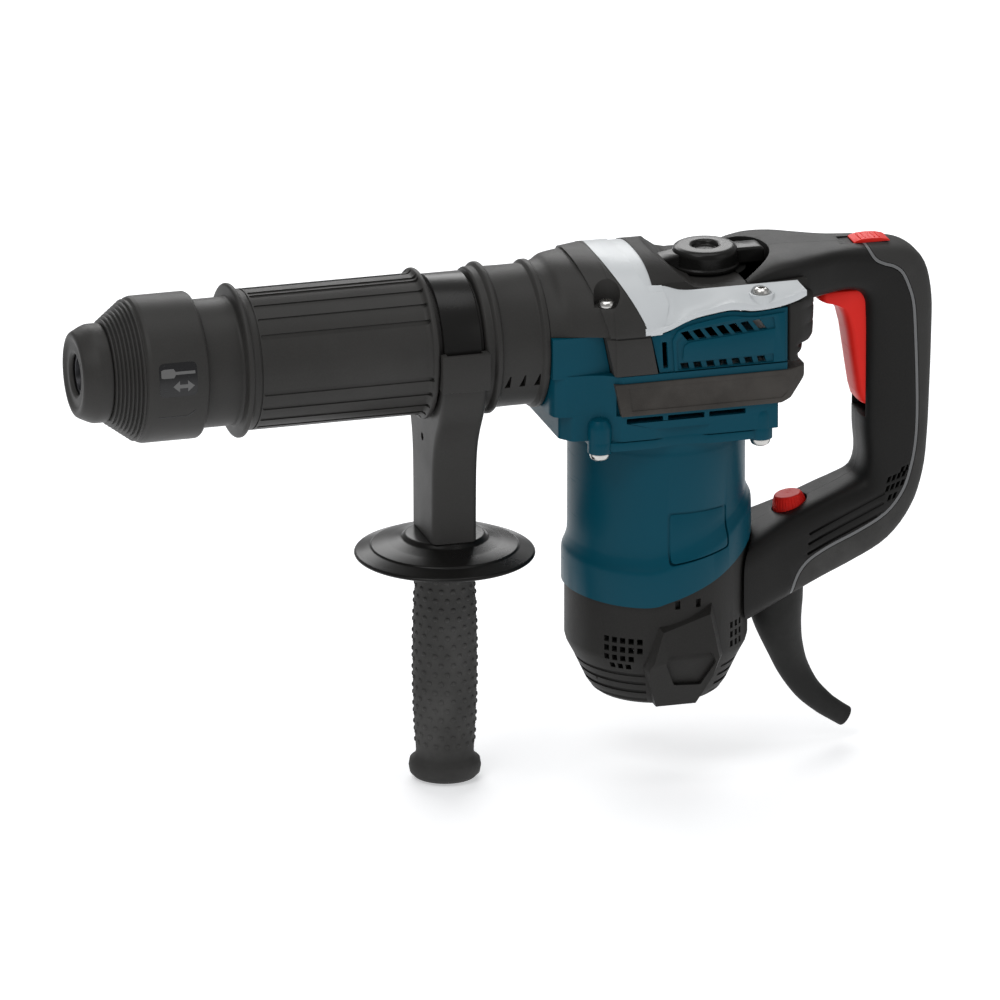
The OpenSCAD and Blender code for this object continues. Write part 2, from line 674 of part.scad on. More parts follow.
module connecting_rod() {
    color("silver") difference() {
        union() {
            translate([crank_x + crank_throw, 0, -rod_half]) cylinder(h = 2 * rod_half, r = 9);
            translate([wrist_x, 0, -rod_half]) cylinder(h = 2 * rod_half, r = 7.4);
            box([wrist_x, crank_x + crank_throw], [-4.5, 4.5], [-rod_half, rod_half]);
        }
        translate([crank_x + crank_throw, 0, -10]) cylinder(h = 20, r = pin_r + run);
        translate([wrist_x, 0, -10]) cylinder(h = 20, r = 3.5 + run);
    }
}

module piston() {
    color("lightgray") difference() {
        union() {
            difference() {
                rod_x(piston_front, piston_back, piston_r);
                rod_x(piston_front + 9, piston_back + 1, 13.4);
            }
            translate([wrist_x, 0, -14]) cylinder(h = 28, r = 3.5);
        }
        tube_x(piston_front + 4, piston_front + 6, 20, piston_r - 1.2);
    }
}

module ram() {
    color("silver") difference() {
        rod_x(ram_front, ram_back, piston_r);
        tube_x(ram_front + 16, ram_front + 18.6, 20, piston_r - 1.4);
        rod_x(ram_back - 14, ram_back + 1, 10);
    }
}

module anvil() {
    color("silver") {
        rod_x(anvil_front, anvil_back, piston_r);
        rod_x(anvil_nose, anvil_front + 1, socket_r - gap);
    }
}

// ---- rear handle ----
module frame_slab(d, y0, y1) { side_slab(inset(handle_frame, d), y0, y1); }
module soft_core() {
    frame_slab(soft_t, -handle_half + soft_t, handle_half - soft_t);
    side_slab([for (p = soft_edge) p + [-eps, 0], [300, -180], [300, 60]], -50, 50);
}
module soft_grip() {
    color("#3a3836") difference() {
        intersection() {
            frame_slab(0, -handle_half, handle_half);
            side_slab(soft_zone, -50, 50);
        }
        frame_slab(soft_t, -handle_half + soft_t, handle_half - soft_t);
        box([410, 446], [-6.6, 6.6], [20, 50]);
    }
}

handle_screw_at = [[398, 25], [410, -119], [437, -88], [438, 18]];
module handle_shell() {
    difference() {
        union() {
            frame_slab(0, 0.05, handle_half);
            // flares where the bar meets the head and the arm meets the motor
            plan_slab([[386.2, 10], [386.2, 33], [395, 28], [410, handle_half - 1], [410, 10]], 13, 34.6);
            intersection() {
                frame_slab(0, 1, 60);
                plan_slab([[352, 10], [352, 33], [370, 30], [384, 24], [398, handle_half - 1], [398, 10]], -170, -100);
            }
        }
        // inside of the shell
        difference() {
            frame_slab(handle_wall + 0.4, -1, handle_half - handle_wall);
            for (p = handle_screw_at) translate([p[0], 0, p[1]]) rotate([-90, 0, 0]) cylinder(h = 40, r = 5);
        }
        // seat of the soft grip
        difference() {
            side_slab(soft_zone, -50, 50);
            frame_slab(soft_t + 0.05, -handle_half, handle_half - soft_t - 0.05);
        }
        translate([motor_x, 0, -220]) cylinder(h = 200, r = flare_r + 0.1);
        box([380, 390.1], [-60, 60], [0, 60]);
        // trigger slot, slider slot, dial seat
        box([390, 440], [-1, trigger_half + gap], [-60, 12 + eps]);
        box([394, 412], [-1, trigger_half + gap], [-60, 15.5]);
        box([slider_x - 14, slider_x + 14], [-1, 4.4], [20, 50]);
        box([slider_x - 19, slider_x + 14], [-1, 6.6], [slider_z - 0.4, 50]);
        translate([dial_at[0], 0, dial_at[1]]) rotate([0, -dial_tilt, 0]) {
            translate([0, 0, -3.8]) cylinder(h = 12, r = 9.8);
            translate([0, 0, -20]) cylinder(h = 24, r = 3.4);
        }
        translate([pull_pivot[0], -1, pull_pivot[1]]) rotate([-90, 0, 0]) cylinder(h = 1 + pin_half + 0.2, r = 2.05);
        for (p = handle_screw_at) translate([p[0], -1, p[1]]) rotate([-90, 0, 0]) cylinder(h = 17.6, r = 1.6);
        translate([384, 0, -190]) cylinder(h = 60, r = 5.4);
    }
}
module handle_right() {
    color("#333333") difference() {
        handle_shell();
        for (p = handle_screw_at) translate([p[0], -1, p[1]]) rotate([-90, 0, 0]) {
            cylinder(h = 30, r = 1.6);
            translate([0, 0, 16]) cylinder(h = 30, r = 3.4);
        }
    }
}
module handle_left() { color("#333333") mirror([0, 1, 0]) handle_shell(); }

module handle_screws() {
    color("silver") for (p = handle_screw_at) translate([p[0], 0, p[1]]) rotate([-90, 0, 0]) {
        translate([0, 0, -14]) cylinder(h = 29, r = 1.5);
        difference() {
            translate([0, 0, 15]) cylinder(h = 2.6, r = 3);
            translate([0, 0, 16]) cylinder(h = 3, r = 1.4, $fn = 6);
        }
    }
}

module trigger() {
    color("#dc2a24") difference() {
        side_slab([[398, 4], [398, 11.4], [408, 11.4], [412, 9.4], [433.6, 9.4], [434, 2], [434, -51], [431, -53.4],
            [424.4, -54], [422.6, -52], [417.6, -21], [415.8, -4], [412.4, 1.6], [406, 4]], -trigger_half, trigger_half);
        translate([pull_pivot[0], -20, pull_pivot[1]]) rotate([-90, 0, 0]) cylinder(h = 40, r = 2 + run);
        // hollow behind the finger face
        side_slab([[421.6, -10], [426, -3], [436, -3], [436, -60], [428, -60]], -trigger_half + 3, trigger_half - 3);
    }
}
module trigger_pin() {
    color("silver") translate([pull_pivot[0], -pin_half, pull_pivot[1]]) rotate([-90, 0, 0])
        cylinder(h = 2 * pin_half, r = 2);
}
module trigger_spring() {
    color("gray") translate([427.6, 0, -36]) rotate([0, 90, 0]) coil_spring(3.2, 0.5, 15.2, 6);
}
module switch_module() {
    color("#444444") {
        box([443, 457], [-11, 11], [-52, 0]);
        box([444, 448], [-6, 6], [0, 6]);
    }
}
module lock_slider() {
    color("#dc2a24") {
        box([slider_x - 11.5, slider_x + 11.5], [-6, 6], [slider_z, slider_z + 2.2]);
        box([slider_x - 6, slider_x + 6], [-4, 4], [24, slider_z]);
        for (i = [-3 : 3])
            box([slider_x + 2.6 * i - 0.6, slider_x + 2.6 * i + 0.6], [-5.2, 5.2], [slider_z + 2.1, slider_z + 2.7]);
    }
}
module dial_frame() { translate([dial_at[0], 0, dial_at[1]]) rotate([0, -dial_tilt, 0]) children(); }
module speed_dial() {
    color("#dc2a24") dial_frame() difference() {
        union() {
            translate([0, 0, -3.4]) cylinder(h = 9.4, r = 9);
            translate([0, 0, -10]) cylinder(h = 7, r = 3);
        }
        for (a = [0 : 20 : 340]) rotate([0, 0, a]) translate([9.6, 0, 0.6]) cylinder(h = 8, r = 1.1);
    }
}
module speed_module() {
    color("#2d6a3f") dial_frame() ring_z(-16, -10.3, 9.4, 1);
}

module boot_ball(p, r) { translate([p[0], 0, p[1]]) sphere(r = r, $fn = 20); }
module boot_link(a, b) { hull() { boot_ball(a, a[2]); boot_ball(b, b[2]); } }
module along_boot(a, b) {
    d = [b[0] - a[0], b[1] - a[1]];
    translate([a[0], 0, a[1]]) rotate([0, atan2(d[0], d[1]), 0]) children();
}
module cord_boot() {
    last = len(boot) - 1;
    mouth = norm([boot[last][0] - boot[last - 1][0], boot[last][1] - boot[last - 1][1]]);
    bend = norm([boot[last - 1][0] - boot[last - 2][0], boot[last - 1][1] - boot[last - 2][1]]);
    color("#2b2b2a") difference() {
        union() for (i = [0 : last - 1]) boot_link(boot[i], boot[i + 1]);
        along_boot(boot[last - 1], boot[last]) {
            cylinder(h = mouth + 20, r = boot_bore_r);
            translate([-20, -20, mouth]) cube(40);
        }
        along_boot(boot[last - 2], boot[last - 1]) cylinder(h = bend, r = boot_bore_r - 0.8);
        box([300, 430], [-40, 40], [boot[0][1], -100]);
        side_slab(inset(handle_frame, -0.1), -50, 50);
    }
}

// ---- knob and screws ----
module selector_knob() {
    color("#232323") translate([knob_x, 0, 0]) difference() {
        union() {
            translate([0, 0, 20]) cylinder(h = 10, r = 8);
            translate([0, 0, knob_floor + gap]) cylinder(h = 3, r = 18);
            translate([0, 0, knob_floor + 3]) cylinder(h = 8, r = 16.5);
            plan_slab([[-31, -5], [-29, -6.6], [29, -6.6], [31, -5], [31, 5], [29, 6.6], [-29, 6.6], [-31, 5]],
                knob_floor + 2, knob_floor + 10.6);
        }
        translate([0, 0, knob_floor + 6]) cylinder(h = 8, r1 = 7, r2 = 10);
    }
}

module shell_screws() {
    color("silver") both_sides() screw_z(shell_screw[0], shell_screw[1], shell_screw[2] + 0.1, 4.6, 2.2, 12);
}
module trim_screws() {
    color("silver") both_sides() screw_z(trim_screw[0], trim_screw[1], trim_screw[2] + 3.1, 4.4, 2.2, 4.4);
}
module flange_screws() {
    color("silver") for (x = [motor_x - 44, motor_x + 44]) both_sides() translate([x, 44, 0]) {
        difference() {
            translate([0, 0, motor_top - 10.1]) cylinder(h = 4, r = 5.4);
            translate([0, 0, motor_top - 11]) cylinder(h = 3, r = 2.6, $fn = 6);
        }
        translate([0, 0, motor_top - 6.2]) cylinder(h = 17, r = 2);
    }
}
module cap_screws() {
    color("silver") translate([motor_x, 0, 0]) for (a = [45 : 90 : 315]) rotate([0, 0, a])
        translate([24, 0, motor_end + 3.7]) cylinder(h = 3, r = 3.4);
}

hammer_tube();
spindle_bush();
front_grip_cover();
rear_barrel_cover();
top_front_shell();
trim_band();
top_cover();
rear_housing();
gear_housing();
side_vent_left();
side_vent_right();
bumper_belt();
gear_plate();
crank_bearing();
motor_housing();
motor_cap();
stator();
field_coils();
brush_holders();
carbon_brushes();
upper_bearing();
lower_bearing();
handle_left();
handle_right();
soft_grip();
switch_module();
speed_module();
trigger_pin();
trigger_spring();
cord_boot();
shell_screws();
trim_screws();
flange_screws();
cap_screws();
handle_screws();
tool_holder();
dust_cap();
locking_rollers();
sleeve_spring();
locking_sleeve();
handle_strap();
handle_bracket();
handle_bolt();
guard_disc();
side_grip();
trigger();
lock_slider();
speed_dial();
selector_knob();
armature_shaft();
armature_core();
commutator();
cooling_fan();
motor_pinion();
crank_gear();
piston();
connecting_rod();
ram();
anvil();
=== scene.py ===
import json
import math

import bmesh
import bpy
from mathutils import Matrix, Vector


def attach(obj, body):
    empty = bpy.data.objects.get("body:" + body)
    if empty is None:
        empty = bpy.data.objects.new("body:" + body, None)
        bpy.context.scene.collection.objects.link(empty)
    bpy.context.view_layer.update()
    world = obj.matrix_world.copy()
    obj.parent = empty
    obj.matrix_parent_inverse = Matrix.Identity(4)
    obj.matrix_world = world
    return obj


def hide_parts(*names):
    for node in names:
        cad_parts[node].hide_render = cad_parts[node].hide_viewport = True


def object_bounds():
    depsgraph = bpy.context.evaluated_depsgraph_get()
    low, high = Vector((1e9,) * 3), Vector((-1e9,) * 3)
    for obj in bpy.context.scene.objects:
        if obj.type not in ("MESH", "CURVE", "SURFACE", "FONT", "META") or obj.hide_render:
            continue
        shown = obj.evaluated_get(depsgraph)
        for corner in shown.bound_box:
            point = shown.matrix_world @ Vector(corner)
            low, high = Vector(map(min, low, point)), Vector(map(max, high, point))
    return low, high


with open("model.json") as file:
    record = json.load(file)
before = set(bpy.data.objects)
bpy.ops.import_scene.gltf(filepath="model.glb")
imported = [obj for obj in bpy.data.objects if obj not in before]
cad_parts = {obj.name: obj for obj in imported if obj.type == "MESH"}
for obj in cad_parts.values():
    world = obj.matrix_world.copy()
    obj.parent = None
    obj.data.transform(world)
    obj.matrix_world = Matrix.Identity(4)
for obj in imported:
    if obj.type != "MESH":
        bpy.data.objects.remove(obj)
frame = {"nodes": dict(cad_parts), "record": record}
cad_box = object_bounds()

MM = 0.001
NODES = frame["nodes"]
BODY_OF = {n: b for b, ns in frame["record"]["behaviour"]["bodies"].items() for n in ns}
SLOT_OF = {s["node"]: s["material_slot"] for s in frame["record"]["subparts"]}

# driving places, in millimetres
MOTOR_X = 314.5
SIDE_X = 198.4
KNOB_X = 341.0
BARREL_ROOM_R = 30.1
BOLT_ROOM_R = 5.06
FLANGE_SCREW_X, FLANGE_SCREW_Y, FLANGE_SCREW_STEP = 270.5, -44.0, 88.0
SHELL_SCREW_X, SHELL_SCREW_Y = 276.0, -38.0
TRIM_SCREW_X, TRIM_SCREW_Y = 359.0, -43.4
# the flanks under the motor's flange curve in between the lugs
HOLLOW_Y, HOLLOW_R = -99.2, 52.0


# ---------------------------------------------------------------- shader maths
class Wire:
    """A socket that adds Math nodes when it is used in an expression."""

    def __init__(self, tree, socket):
        self.tree, self.socket = tree, socket

    def math(self, operation, *others):
        return self.tree.node("ShaderNodeMath", {"operation": operation}, dict(enumerate((self, *others))))

    def __add__(self, other):
        return self.math("ADD", other)

    __radd__ = __add__

    def __mul__(self, other):
        return self.math("MULTIPLY", other)

    __rmul__ = __mul__

    def above(self, edge, soft):
        """0 below edge, 1 above it, with a soft step."""
        return self.tree.node(
            "ShaderNodeMapRange",
            {"interpolation_type": "SMOOTHSTEP"},
            {0: self, 1: edge - soft, 2: edge + soft, 3: 0.0, 4: 1.0},
        )


class Shader:
    """One material's node tree and the few calls that the finishes below need."""

    def __init__(self, name):
        self.material = bpy.data.materials.new(name)
        self.material.use_nodes = True
        self.nodes = self.material.node_tree.nodes
        self.links = self.material.node_tree.links
        self.nodes.clear()
        self.bsdf = self.nodes.new("ShaderNodeBsdfPrincipled")
        output = self.nodes.new("ShaderNodeOutputMaterial")
        self.links.new(self.bsdf.outputs[0], output.inputs[0])
        place = self.nodes.new("ShaderNodeTexCoord")
        self.place = Wire(self, place.outputs["Object"])

    def node(self, kind, settings=None, inputs=None, out=0):
        """Any node from its type, its settings, and the values or links of its sockets."""
        made = self.nodes.new(kind)
        for key, value in (settings or {}).items():
            if key == "stops":
                self.ramp(made.color_ramp, value)
            else:
                setattr(made, key, value)
        for key, value in (inputs or {}).items():
            self.feed(made.inputs[key], value)
        return Wire(self, made.outputs[out])

    def feed(self, socket, value):
        if isinstance(value, Wire):
            self.links.new(value.socket, socket)
        else:
            socket.default_value = value

    def ramp(self, ramp, stops):
        while len(ramp.elements) < len(stops):
            ramp.elements.new(1.0)
        for element, (at, level) in zip(ramp.elements, stops):
            element.position = at
            element.color = (level, level, level, 1.0)

    def stretched(self, scale):
        return self.node("ShaderNodeMapping", None, {"Vector": self.place, "Scale": scale})

    def noise(self, scale, detail=2.0, roughness=0.5, vector=None):
        return self.node(
            "ShaderNodeTexNoise", None,
            {"Vector": vector or self.place, "Scale": scale, "Detail": detail, "Roughness": roughness},
        )

    def cells(self, scale, feature="F1"):
        return self.node(
            "ShaderNodeTexVoronoi", {"feature": feature}, {"Vector": self.place, "Scale": scale})

    def blend(self, factor, a, b):
        """From colour a to colour b."""
        return self.node(
            "ShaderNodeMix", {"data_type": "RGBA"}, {0: factor, 6: (*a, 1.0), 7: (*b, 1.0)}, out=2)

    def bump(self, height, depth, strength=1.0):
        return self.node(
            "ShaderNodeBump", None, {"Height": height, "Distance": depth, "Strength": strength})

    def finish(self, colour, roughness, normal=None, **fixed):
        """Feeds the surface; fixed values go straight on its sockets."""
        fixed = {"specular_ior_level": 0.3, **fixed}
        self.feed(self.bsdf.inputs["Base Color"], colour if isinstance(colour, Wire) else (*colour, 1.0))
        self.feed(self.bsdf.inputs["Roughness"], roughness)
        if normal is not None:
            self.feed(self.bsdf.inputs["Normal"], normal)
        for name, value in fixed.items():
            self.bsdf.inputs[name.replace("_", " ").title().replace("Ior", "IOR")].default_value = value
        return self.material


def shade(colour, k):
    return tuple(c * k for c in colour)


# ---------------------------------------------------------------- finishes
def moulded_plastic(name, colour, rough=0.5, grain=900.0, depth=0.00006, spread=0.16):
    """Spark-eroded plastic: fine pits, cloudy gloss and a little dust in the lows."""
    s = Shader(name)
    pits = s.cells(grain)
    cloud = s.noise(38.0, 4.0, 0.6)
    rub = s.noise(9.0, 5.0, 0.65)
    dust = rub.above(0.6, 0.12) * 0.35 + pits * 0.25
    tone = s.blend(dust, shade(colour, 0.92), tuple(c * 1.25 + 0.004 for c in colour))
    gloss = cloud * spread + (rough - spread * 0.5) + pits * 0.05
    height = pits * 0.7 + s.noise(grain * 1.7, 2.0, 0.5) * 0.5
    return s.finish(tone, gloss, s.bump(height, depth, 0.8), specular_ior_level=0.17)


def satin_plastic(name, colour, rough=0.34, coat=0.0, spread=0.12, scuffs=0.12, **fixed):
    """Smooth coloured moulding with a slight flow pattern and fine handling marks."""
    s = Shader(name)
    flow = s.noise(22.0, 3.0, 0.5)
    scuff = s.noise(260.0, 4.0, 0.7, s.stretched((1.0, 0.25, 3.0)))
    tone = s.blend(flow, shade(colour, 0.93), shade(colour, 1.08))
    gloss = flow * spread + (rough - spread * 0.5) + scuff.above(0.62, 0.06) * scuffs
    height = s.noise(1400.0, 2.0, 0.5) * 0.6 + flow * 0.5
    return s.finish(tone, gloss, s.bump(height, 0.00003, 0.7), coat_weight=coat, coat_roughness=0.2,
                    **fixed)


def rubber(name, colour, rough=0.72, pitch=1500.0, depth=0.00008):
    """Soft touch rubber with a pebbled skin and dusty rubs."""
    s = Shader(name)
    pebble = s.cells(pitch, "SMOOTH_F1")
    wear = s.noise(17.0, 5.0, 0.62)
    tone = s.blend(wear.above(0.56, 0.14), colour, tuple(c * 1.5 + 0.005 for c in colour))
    gloss = wear * 0.14 + (rough - 0.08)
    return s.finish(tone, gloss, s.bump(pebble, depth, 0.9), specular_ior_level=0.17)


def metal(name, colour, rough=0.3, along=(1.0, 1.0, 1.0), scale=500.0, depth=0.00003, tint=0.12):
    """Bare or plated metal with machining streaks and a mottled gloss."""
    s = Shader(name)
    streak = s.noise(scale, 3.0, 0.6, s.stretched(along))
    mottle = s.noise(60.0, 4.0, 0.6)
    tone = s.blend(mottle, shade(colour, 1.0 - tint), colour)
    gloss = streak * 0.16 + mottle * 0.1 + (rough - 0.12)
    return s.finish(tone, gloss, s.bump(streak, depth, 0.6), metallic=1.0)


def circuit_board(name):
    """Green lacquer with paler tracks."""
    s = Shader(name)
    tracks = s.cells(420.0, "DISTANCE_TO_EDGE")
    field = tracks.above(0.06, 0.03)
    tone = s.blend(field, (0.05, 0.22, 0.09), (0.02, 0.12, 0.05))
    return s.finish(tone, field * 0.15 + 0.3, s.bump(tracks, 0.00005))


# ---------------------------------------------------------------- colours and slots
BLACK = (0.0195, 0.0187, 0.0176)
# black moulding made lighter than the other blacks to stand in for the light on the barrel's top: painted
# light
COVER_PAINTED_LIGHT = (0.035, 0.034, 0.0325)
BLUE = (0.0006, 0.056, 0.088)
FINISH = {
    "black_plastic": moulded_plastic("grained_black", BLACK, 0.5),
    # barrel and head mouldings take the lightened black, with painted light
    "cover_plastic": moulded_plastic("barrel_black", COVER_PAINTED_LIGHT, 0.44, 1100.0, 0.00004),
    "warm_black": rubber("bumper_rubber", (0.038, 0.0345, 0.031), 0.66, 1300.0),
    "soft_rubber": rubber("soft_grip_rubber", (0.040, 0.0393, 0.038), 0.7),
    "dark_rubber": rubber("boot_rubber", (0.015, 0.015, 0.0145), 0.6, 1700.0, 0.00005),
    "gloss_black": satin_plastic(
        "polished_black", (0.010, 0.0097, 0.0092), 0.28, 0.0, 0.06, 0.02, specular_ior_level=0.2),
    "blue_plastic": satin_plastic("teal_blue", BLUE, 0.36, specular_ior_level=0.11),
    "grey_trim": satin_plastic("light_grey_trim", (0.61, 0.635, 0.65), 0.36, 0.05),
    "red_plastic": satin_plastic("control_red", (0.82, 0.022, 0.015), 0.4, specular_ior_level=0.14),
    "zinc": metal("bright_zinc", (0.60, 0.59, 0.57), 0.25, (1.0, 1.0, 6.0)),
    "steel": metal("ground_steel", (0.52, 0.52, 0.53), 0.32, (6.0, 1.0, 1.0)),
    "bronze": metal("sintered_bronze", (0.50, 0.30, 0.13), 0.5, scale=900.0),
    "copper": metal("wound_copper", (0.70, 0.33, 0.17), 0.35, (1.0, 1.0, 14.0), 260.0, 0.0002),
    "carbon": moulded_plastic("brush_carbon", (0.02, 0.02, 0.021), 0.6, 1500.0),
    "lamination": metal("steel_laminations", (0.30, 0.30, 0.31), 0.45, (1.0, 1.0, 30.0), 120.0, 0.0002),
    "board_green": circuit_board("circuit_board"),
    "aluminium_cast": metal("cast_aluminium", (0.56, 0.57, 0.58), 0.48, scale=700.0, depth=0.0001),
    "brush_brass": metal("pressed_brass", (0.62, 0.44, 0.16), 0.34),
}
blackened_steel = metal("blackened_steel", (0.07, 0.07, 0.075), 0.42, (6.0, 1.0, 1.0))
# darker copy of the black moulding that stands in for the shade on the handle's flanks: painted shade
handle_black = moulded_plastic("handle_black", (0.0105, 0.0102, 0.0097), 0.44, 1000.0, 0.00005)
handle_line = satin_plastic("handle_line_grey", (0.15, 0.152, 0.155), 0.5)
pictogram_face = satin_plastic("pictogram_panel", (0.012, 0.012, 0.013), 0.25, 0.2)
pictogram_ink = satin_plastic("pictogram_ink", (0.13, 0.13, 0.13), 0.5)


# ---------------------------------------------------------------- mesh helpers
def new_object(name, mesh):
    made = bpy.data.objects.new(name, mesh)
    bpy.context.scene.collection.objects.link(made)
    return made


def from_bmesh(name, bm):
    mesh = bpy.data.meshes.new(name)
    bm.to_mesh(mesh)
    bm.free()
    return new_object(name, mesh)


def baked(obj):
    """The evaluated object as a plain mesh, with its modifiers gone."""
    graph = bpy.context.evaluated_depsgraph_get()
    graph.update()
    mesh = bpy.data.meshes.new_from_object(obj.evaluated_get(graph), depsgraph=graph)
    obj.modifiers.clear()
    old = obj.data
    obj.data = mesh
    bpy.data.meshes.remove(old)
    return obj


def smooth(obj, angle):
    """Smooth shading up to an angle in degrees."""
    obj.data.shade_smooth()
    obj.data.set_sharp_from_angle(angle=math.radians(angle))
    return obj


def merged_copy(node):
    """A CAD node's own shape with its doubles merged and its flat faces joined."""
    bm = bmesh.new()
    bm.from_mesh(NODES[node].data)
    bmesh.ops.remove_doubles(bm, verts=bm.verts, dist=1e-6)
    bmesh.ops.dissolve_limit(bm, angle_limit=math.radians(0.4), verts=bm.verts, edges=bm.edges)
    return from_bmesh(node + "_body", bm)


def bevelled(obj, width, segments=2, angle=32.0):
    """Edges sharper than an angle rounded by a width in millimetres."""
    mod = obj.modifiers.new("edges", "BEVEL")
    mod.width = width * MM
    mod.segments = segments
    mod.limit_method = "ANGLE"
    mod.angle_limit = math.radians(angle)
    mod.use_clamp_overlap = True
    mod.miter_outer = "MITER_ARC"
    return baked(obj)


def settle(obj, body, slot, *nodes, material=None, angle=35.0):
    """Last call on a piece: finish, normals, body, and the CAD nodes it stands for."""
    obj.data.materials.clear()
    obj.data.materials.append(material or FINISH[slot])
    smooth(obj, angle)
    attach(obj, body)
    if nodes:
        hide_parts(*nodes)
    return obj


def softened(node):
    """A CAD node with its hard edges rounded."""
    return settle(bevelled(merged_copy(node), 0.5), BODY_OF[node], SLOT_OF[node], node)


def cut(obj, cutter, operation="DIFFERENCE"):
    """An exact boolean that uses up the cutter."""
    mod = obj.modifiers.new("cut", "BOOLEAN")
    mod.object = cutter
    mod.operation = operation
    mod.solver = "EXACT"
    mod.use_self = operation == "DIFFERENCE"
    baked(obj)
    bpy.data.objects.remove(cutter)
    return obj


# ---------------------------------------------------------------- shapes, in millimetres
def solid(name, points, faces):
    """A closed mesh from points in millimetres."""
    bm = bmesh.new()
    verts = [bm.verts.new([c * MM for c in p]) for p in points]
    for face in faces:
        bm.faces.new([verts[i] for i in face])
    bmesh.ops.remove_doubles(bm, verts=bm.verts, dist=1e-7)
    bmesh.ops.recalc_face_normals(bm, faces=bm.faces)
    return from_bmesh(name, bm)


def lofted(name, rings, ring_closed=False):
    """Skin over rings of equal length; the ends are capped unless the rings close on themselves."""
    n, m = len(rings[0]), len(rings)
    faces = [
        (i * n + k, i * n + (k + 1) % n, (i + 1) % m * n + (k + 1) % n, (i + 1) % m * n + k)
        for i in range(m if ring_closed else m - 1)
        for k in range(n)
    ]
    if not ring_closed:
        faces += [tuple(range(n)), tuple((m - 1) * n + k for k in range(n))]
    return solid(name, [p for ring in rings for p in ring], faces)


def slab(name, outline, y0, y1):
    """An outline of (x, z) points across the width."""
    return lofted(name, [[(x, y, z) for x, z in outline] for y in (y0, y1)])


def plan(name, outline, z0, z1):
    """An outline of (x, y) points upwards."""
    return lofted(name, [[(x, y, z) for x, y in outline] for z in (z0, z1)])


def block(name, x, y, z):
    """A box from its three (low, high) spans."""
    return slab(name, [(x[0], z[0]), (x[1], z[0]), (x[1], z[1]), (x[0], z[1])], *y)


def rod(name, start, end, radius, sides=48):
    """A round rod between two points."""
    a, b = Vector(start), Vector(end)
    turn = (b - a).to_track_quat("Z", "Y")
    rings = []
    for p in (a, b):
        rings.append([
            tuple(p + turn @ Vector((radius * math.cos(t), radius * math.sin(t), 0.0)))
            for t in (math.tau * k / sides for k in range(sides))
        ])
    return lofted(name, rings)


def rounded(outline, radius, steps=4):
    """A closed outline with its corners turned into short curves."""
    result = []
    n = len(outline)
    for i, corner in enumerate(outline):
        p = Vector(corner)
        back, ahead = Vector(outline[i - 1]) - p, Vector(outline[(i + 1) % n]) - p
        reach = min(radius, back.length * 0.48, ahead.length * 0.48)
        a, b = p + back.normalized() * reach, p + ahead.normalized() * reach
        for k in range(steps + 1):
            t = k / steps
            result.append(tuple(a * (1 - t) ** 2 + p * 2 * t * (1 - t) + b * t ** 2))
    return result


def eased(p, q, r, s, t):
    """The value at a share t of the way from q to r on a smooth run p, q, r, s."""
    bend = (2 * p - 5 * q + 4 * r - s) * t ** 2
    twist = (3 * q - p - 3 * r + s) * t ** 3
    return 0.5 * (2 * q + (r - p) * t + bend + twist)


def through(points, per=5):
    """A smooth open run through points of any number of values."""
    result = []
    for i in range(len(points) - 1):
        a, b = points[max(i - 1, 0)], points[i]
        c, d = points[i + 1], points[min(i + 2, len(points) - 1)]
        for k in range(per):
            t = k / per
            result.append(tuple(eased(p, q, r, s, t) for p, q, r, s in zip(a, b, c, d)))
    result.append(tuple(points[-1]))
    return result


def lathe(name, profile, axis, centre=(0.0, 0.0, 0.0), steps=96):
    """Turns a closed profile of (radius, place along the axis) points."""
    rings = []
    for k in range(steps):
        c, s = math.cos(math.tau * k / steps), math.sin(math.tau * k / steps)
        turned = [(t, r * c, r * s) if axis == "X" else (r * c, r * s, t) for r, t in profile]
        rings.append([tuple(p + q for p, q in zip(point, centre)) for point in turned])
    return lofted(name, rings, ring_closed=True)


def mirrored(obj):
    """A copy on the other side of the hammer's middle plane."""
    bm = bmesh.new()
    bm.from_mesh(obj.data)
    bmesh.ops.scale(bm, verts=bm.verts, vec=(1.0, -1.0, 1.0))
    bmesh.ops.recalc_face_normals(bm, faces=bm.faces)
    return from_bmesh(obj.name + "_other", bm)


def joined(name, *parts):
    """Separate closed parts gathered in one mesh."""
    bm = bmesh.new()
    for part in parts:
        bm.from_mesh(part.data)
        bpy.data.objects.remove(part)
    return from_bmesh(name, bm)


def both_sides(obj):
    """The piece and its mirror image in one mesh."""
    other = mirrored(obj)
    return joined(obj.name, obj, other)


def copy_of(obj):
    return new_object(obj.name + "_copy", obj.data.copy())


def fused(obj, *others):
    """One closed shape from several that overlap."""
    for other in others:
        cut(obj, other, "UNION")
    return obj


def turned(obj, angle, axis, centre):
    """The same mesh turned by an angle in degrees about an axis through a centre in millimetres."""
    at = Vector(centre) * MM
    move = Matrix.Translation(at) @ Matrix.Rotation(math.radians(angle), 4, axis) @ Matrix.Translation(-at)
    obj.data.transform(move)
    return obj


def halved(obj, y, side):
    """Keeps one side of a plane across the width, with the cut closed."""
    bm = bmesh.new()
    bm.from_mesh(obj.data)
    whole = bm.verts[:] + bm.edges[:] + bm.faces[:]
    cutting = bmesh.ops.bisect_plane(
        bm, geom=whole, plane_co=(0, y * MM, 0), plane_no=(0, 1, 0), dist=1e-7,
        clear_outer=side < 0, clear_inner=side > 0)
    edges = [e for e in cutting["geom_cut"] if isinstance(e, bmesh.types.BMEdge)]
    bmesh.ops.holes_fill(bm, edges=edges)
    bmesh.ops.recalc_face_normals(bm, faces=bm.faces)
    return from_bmesh(obj.name + "_half", bm)


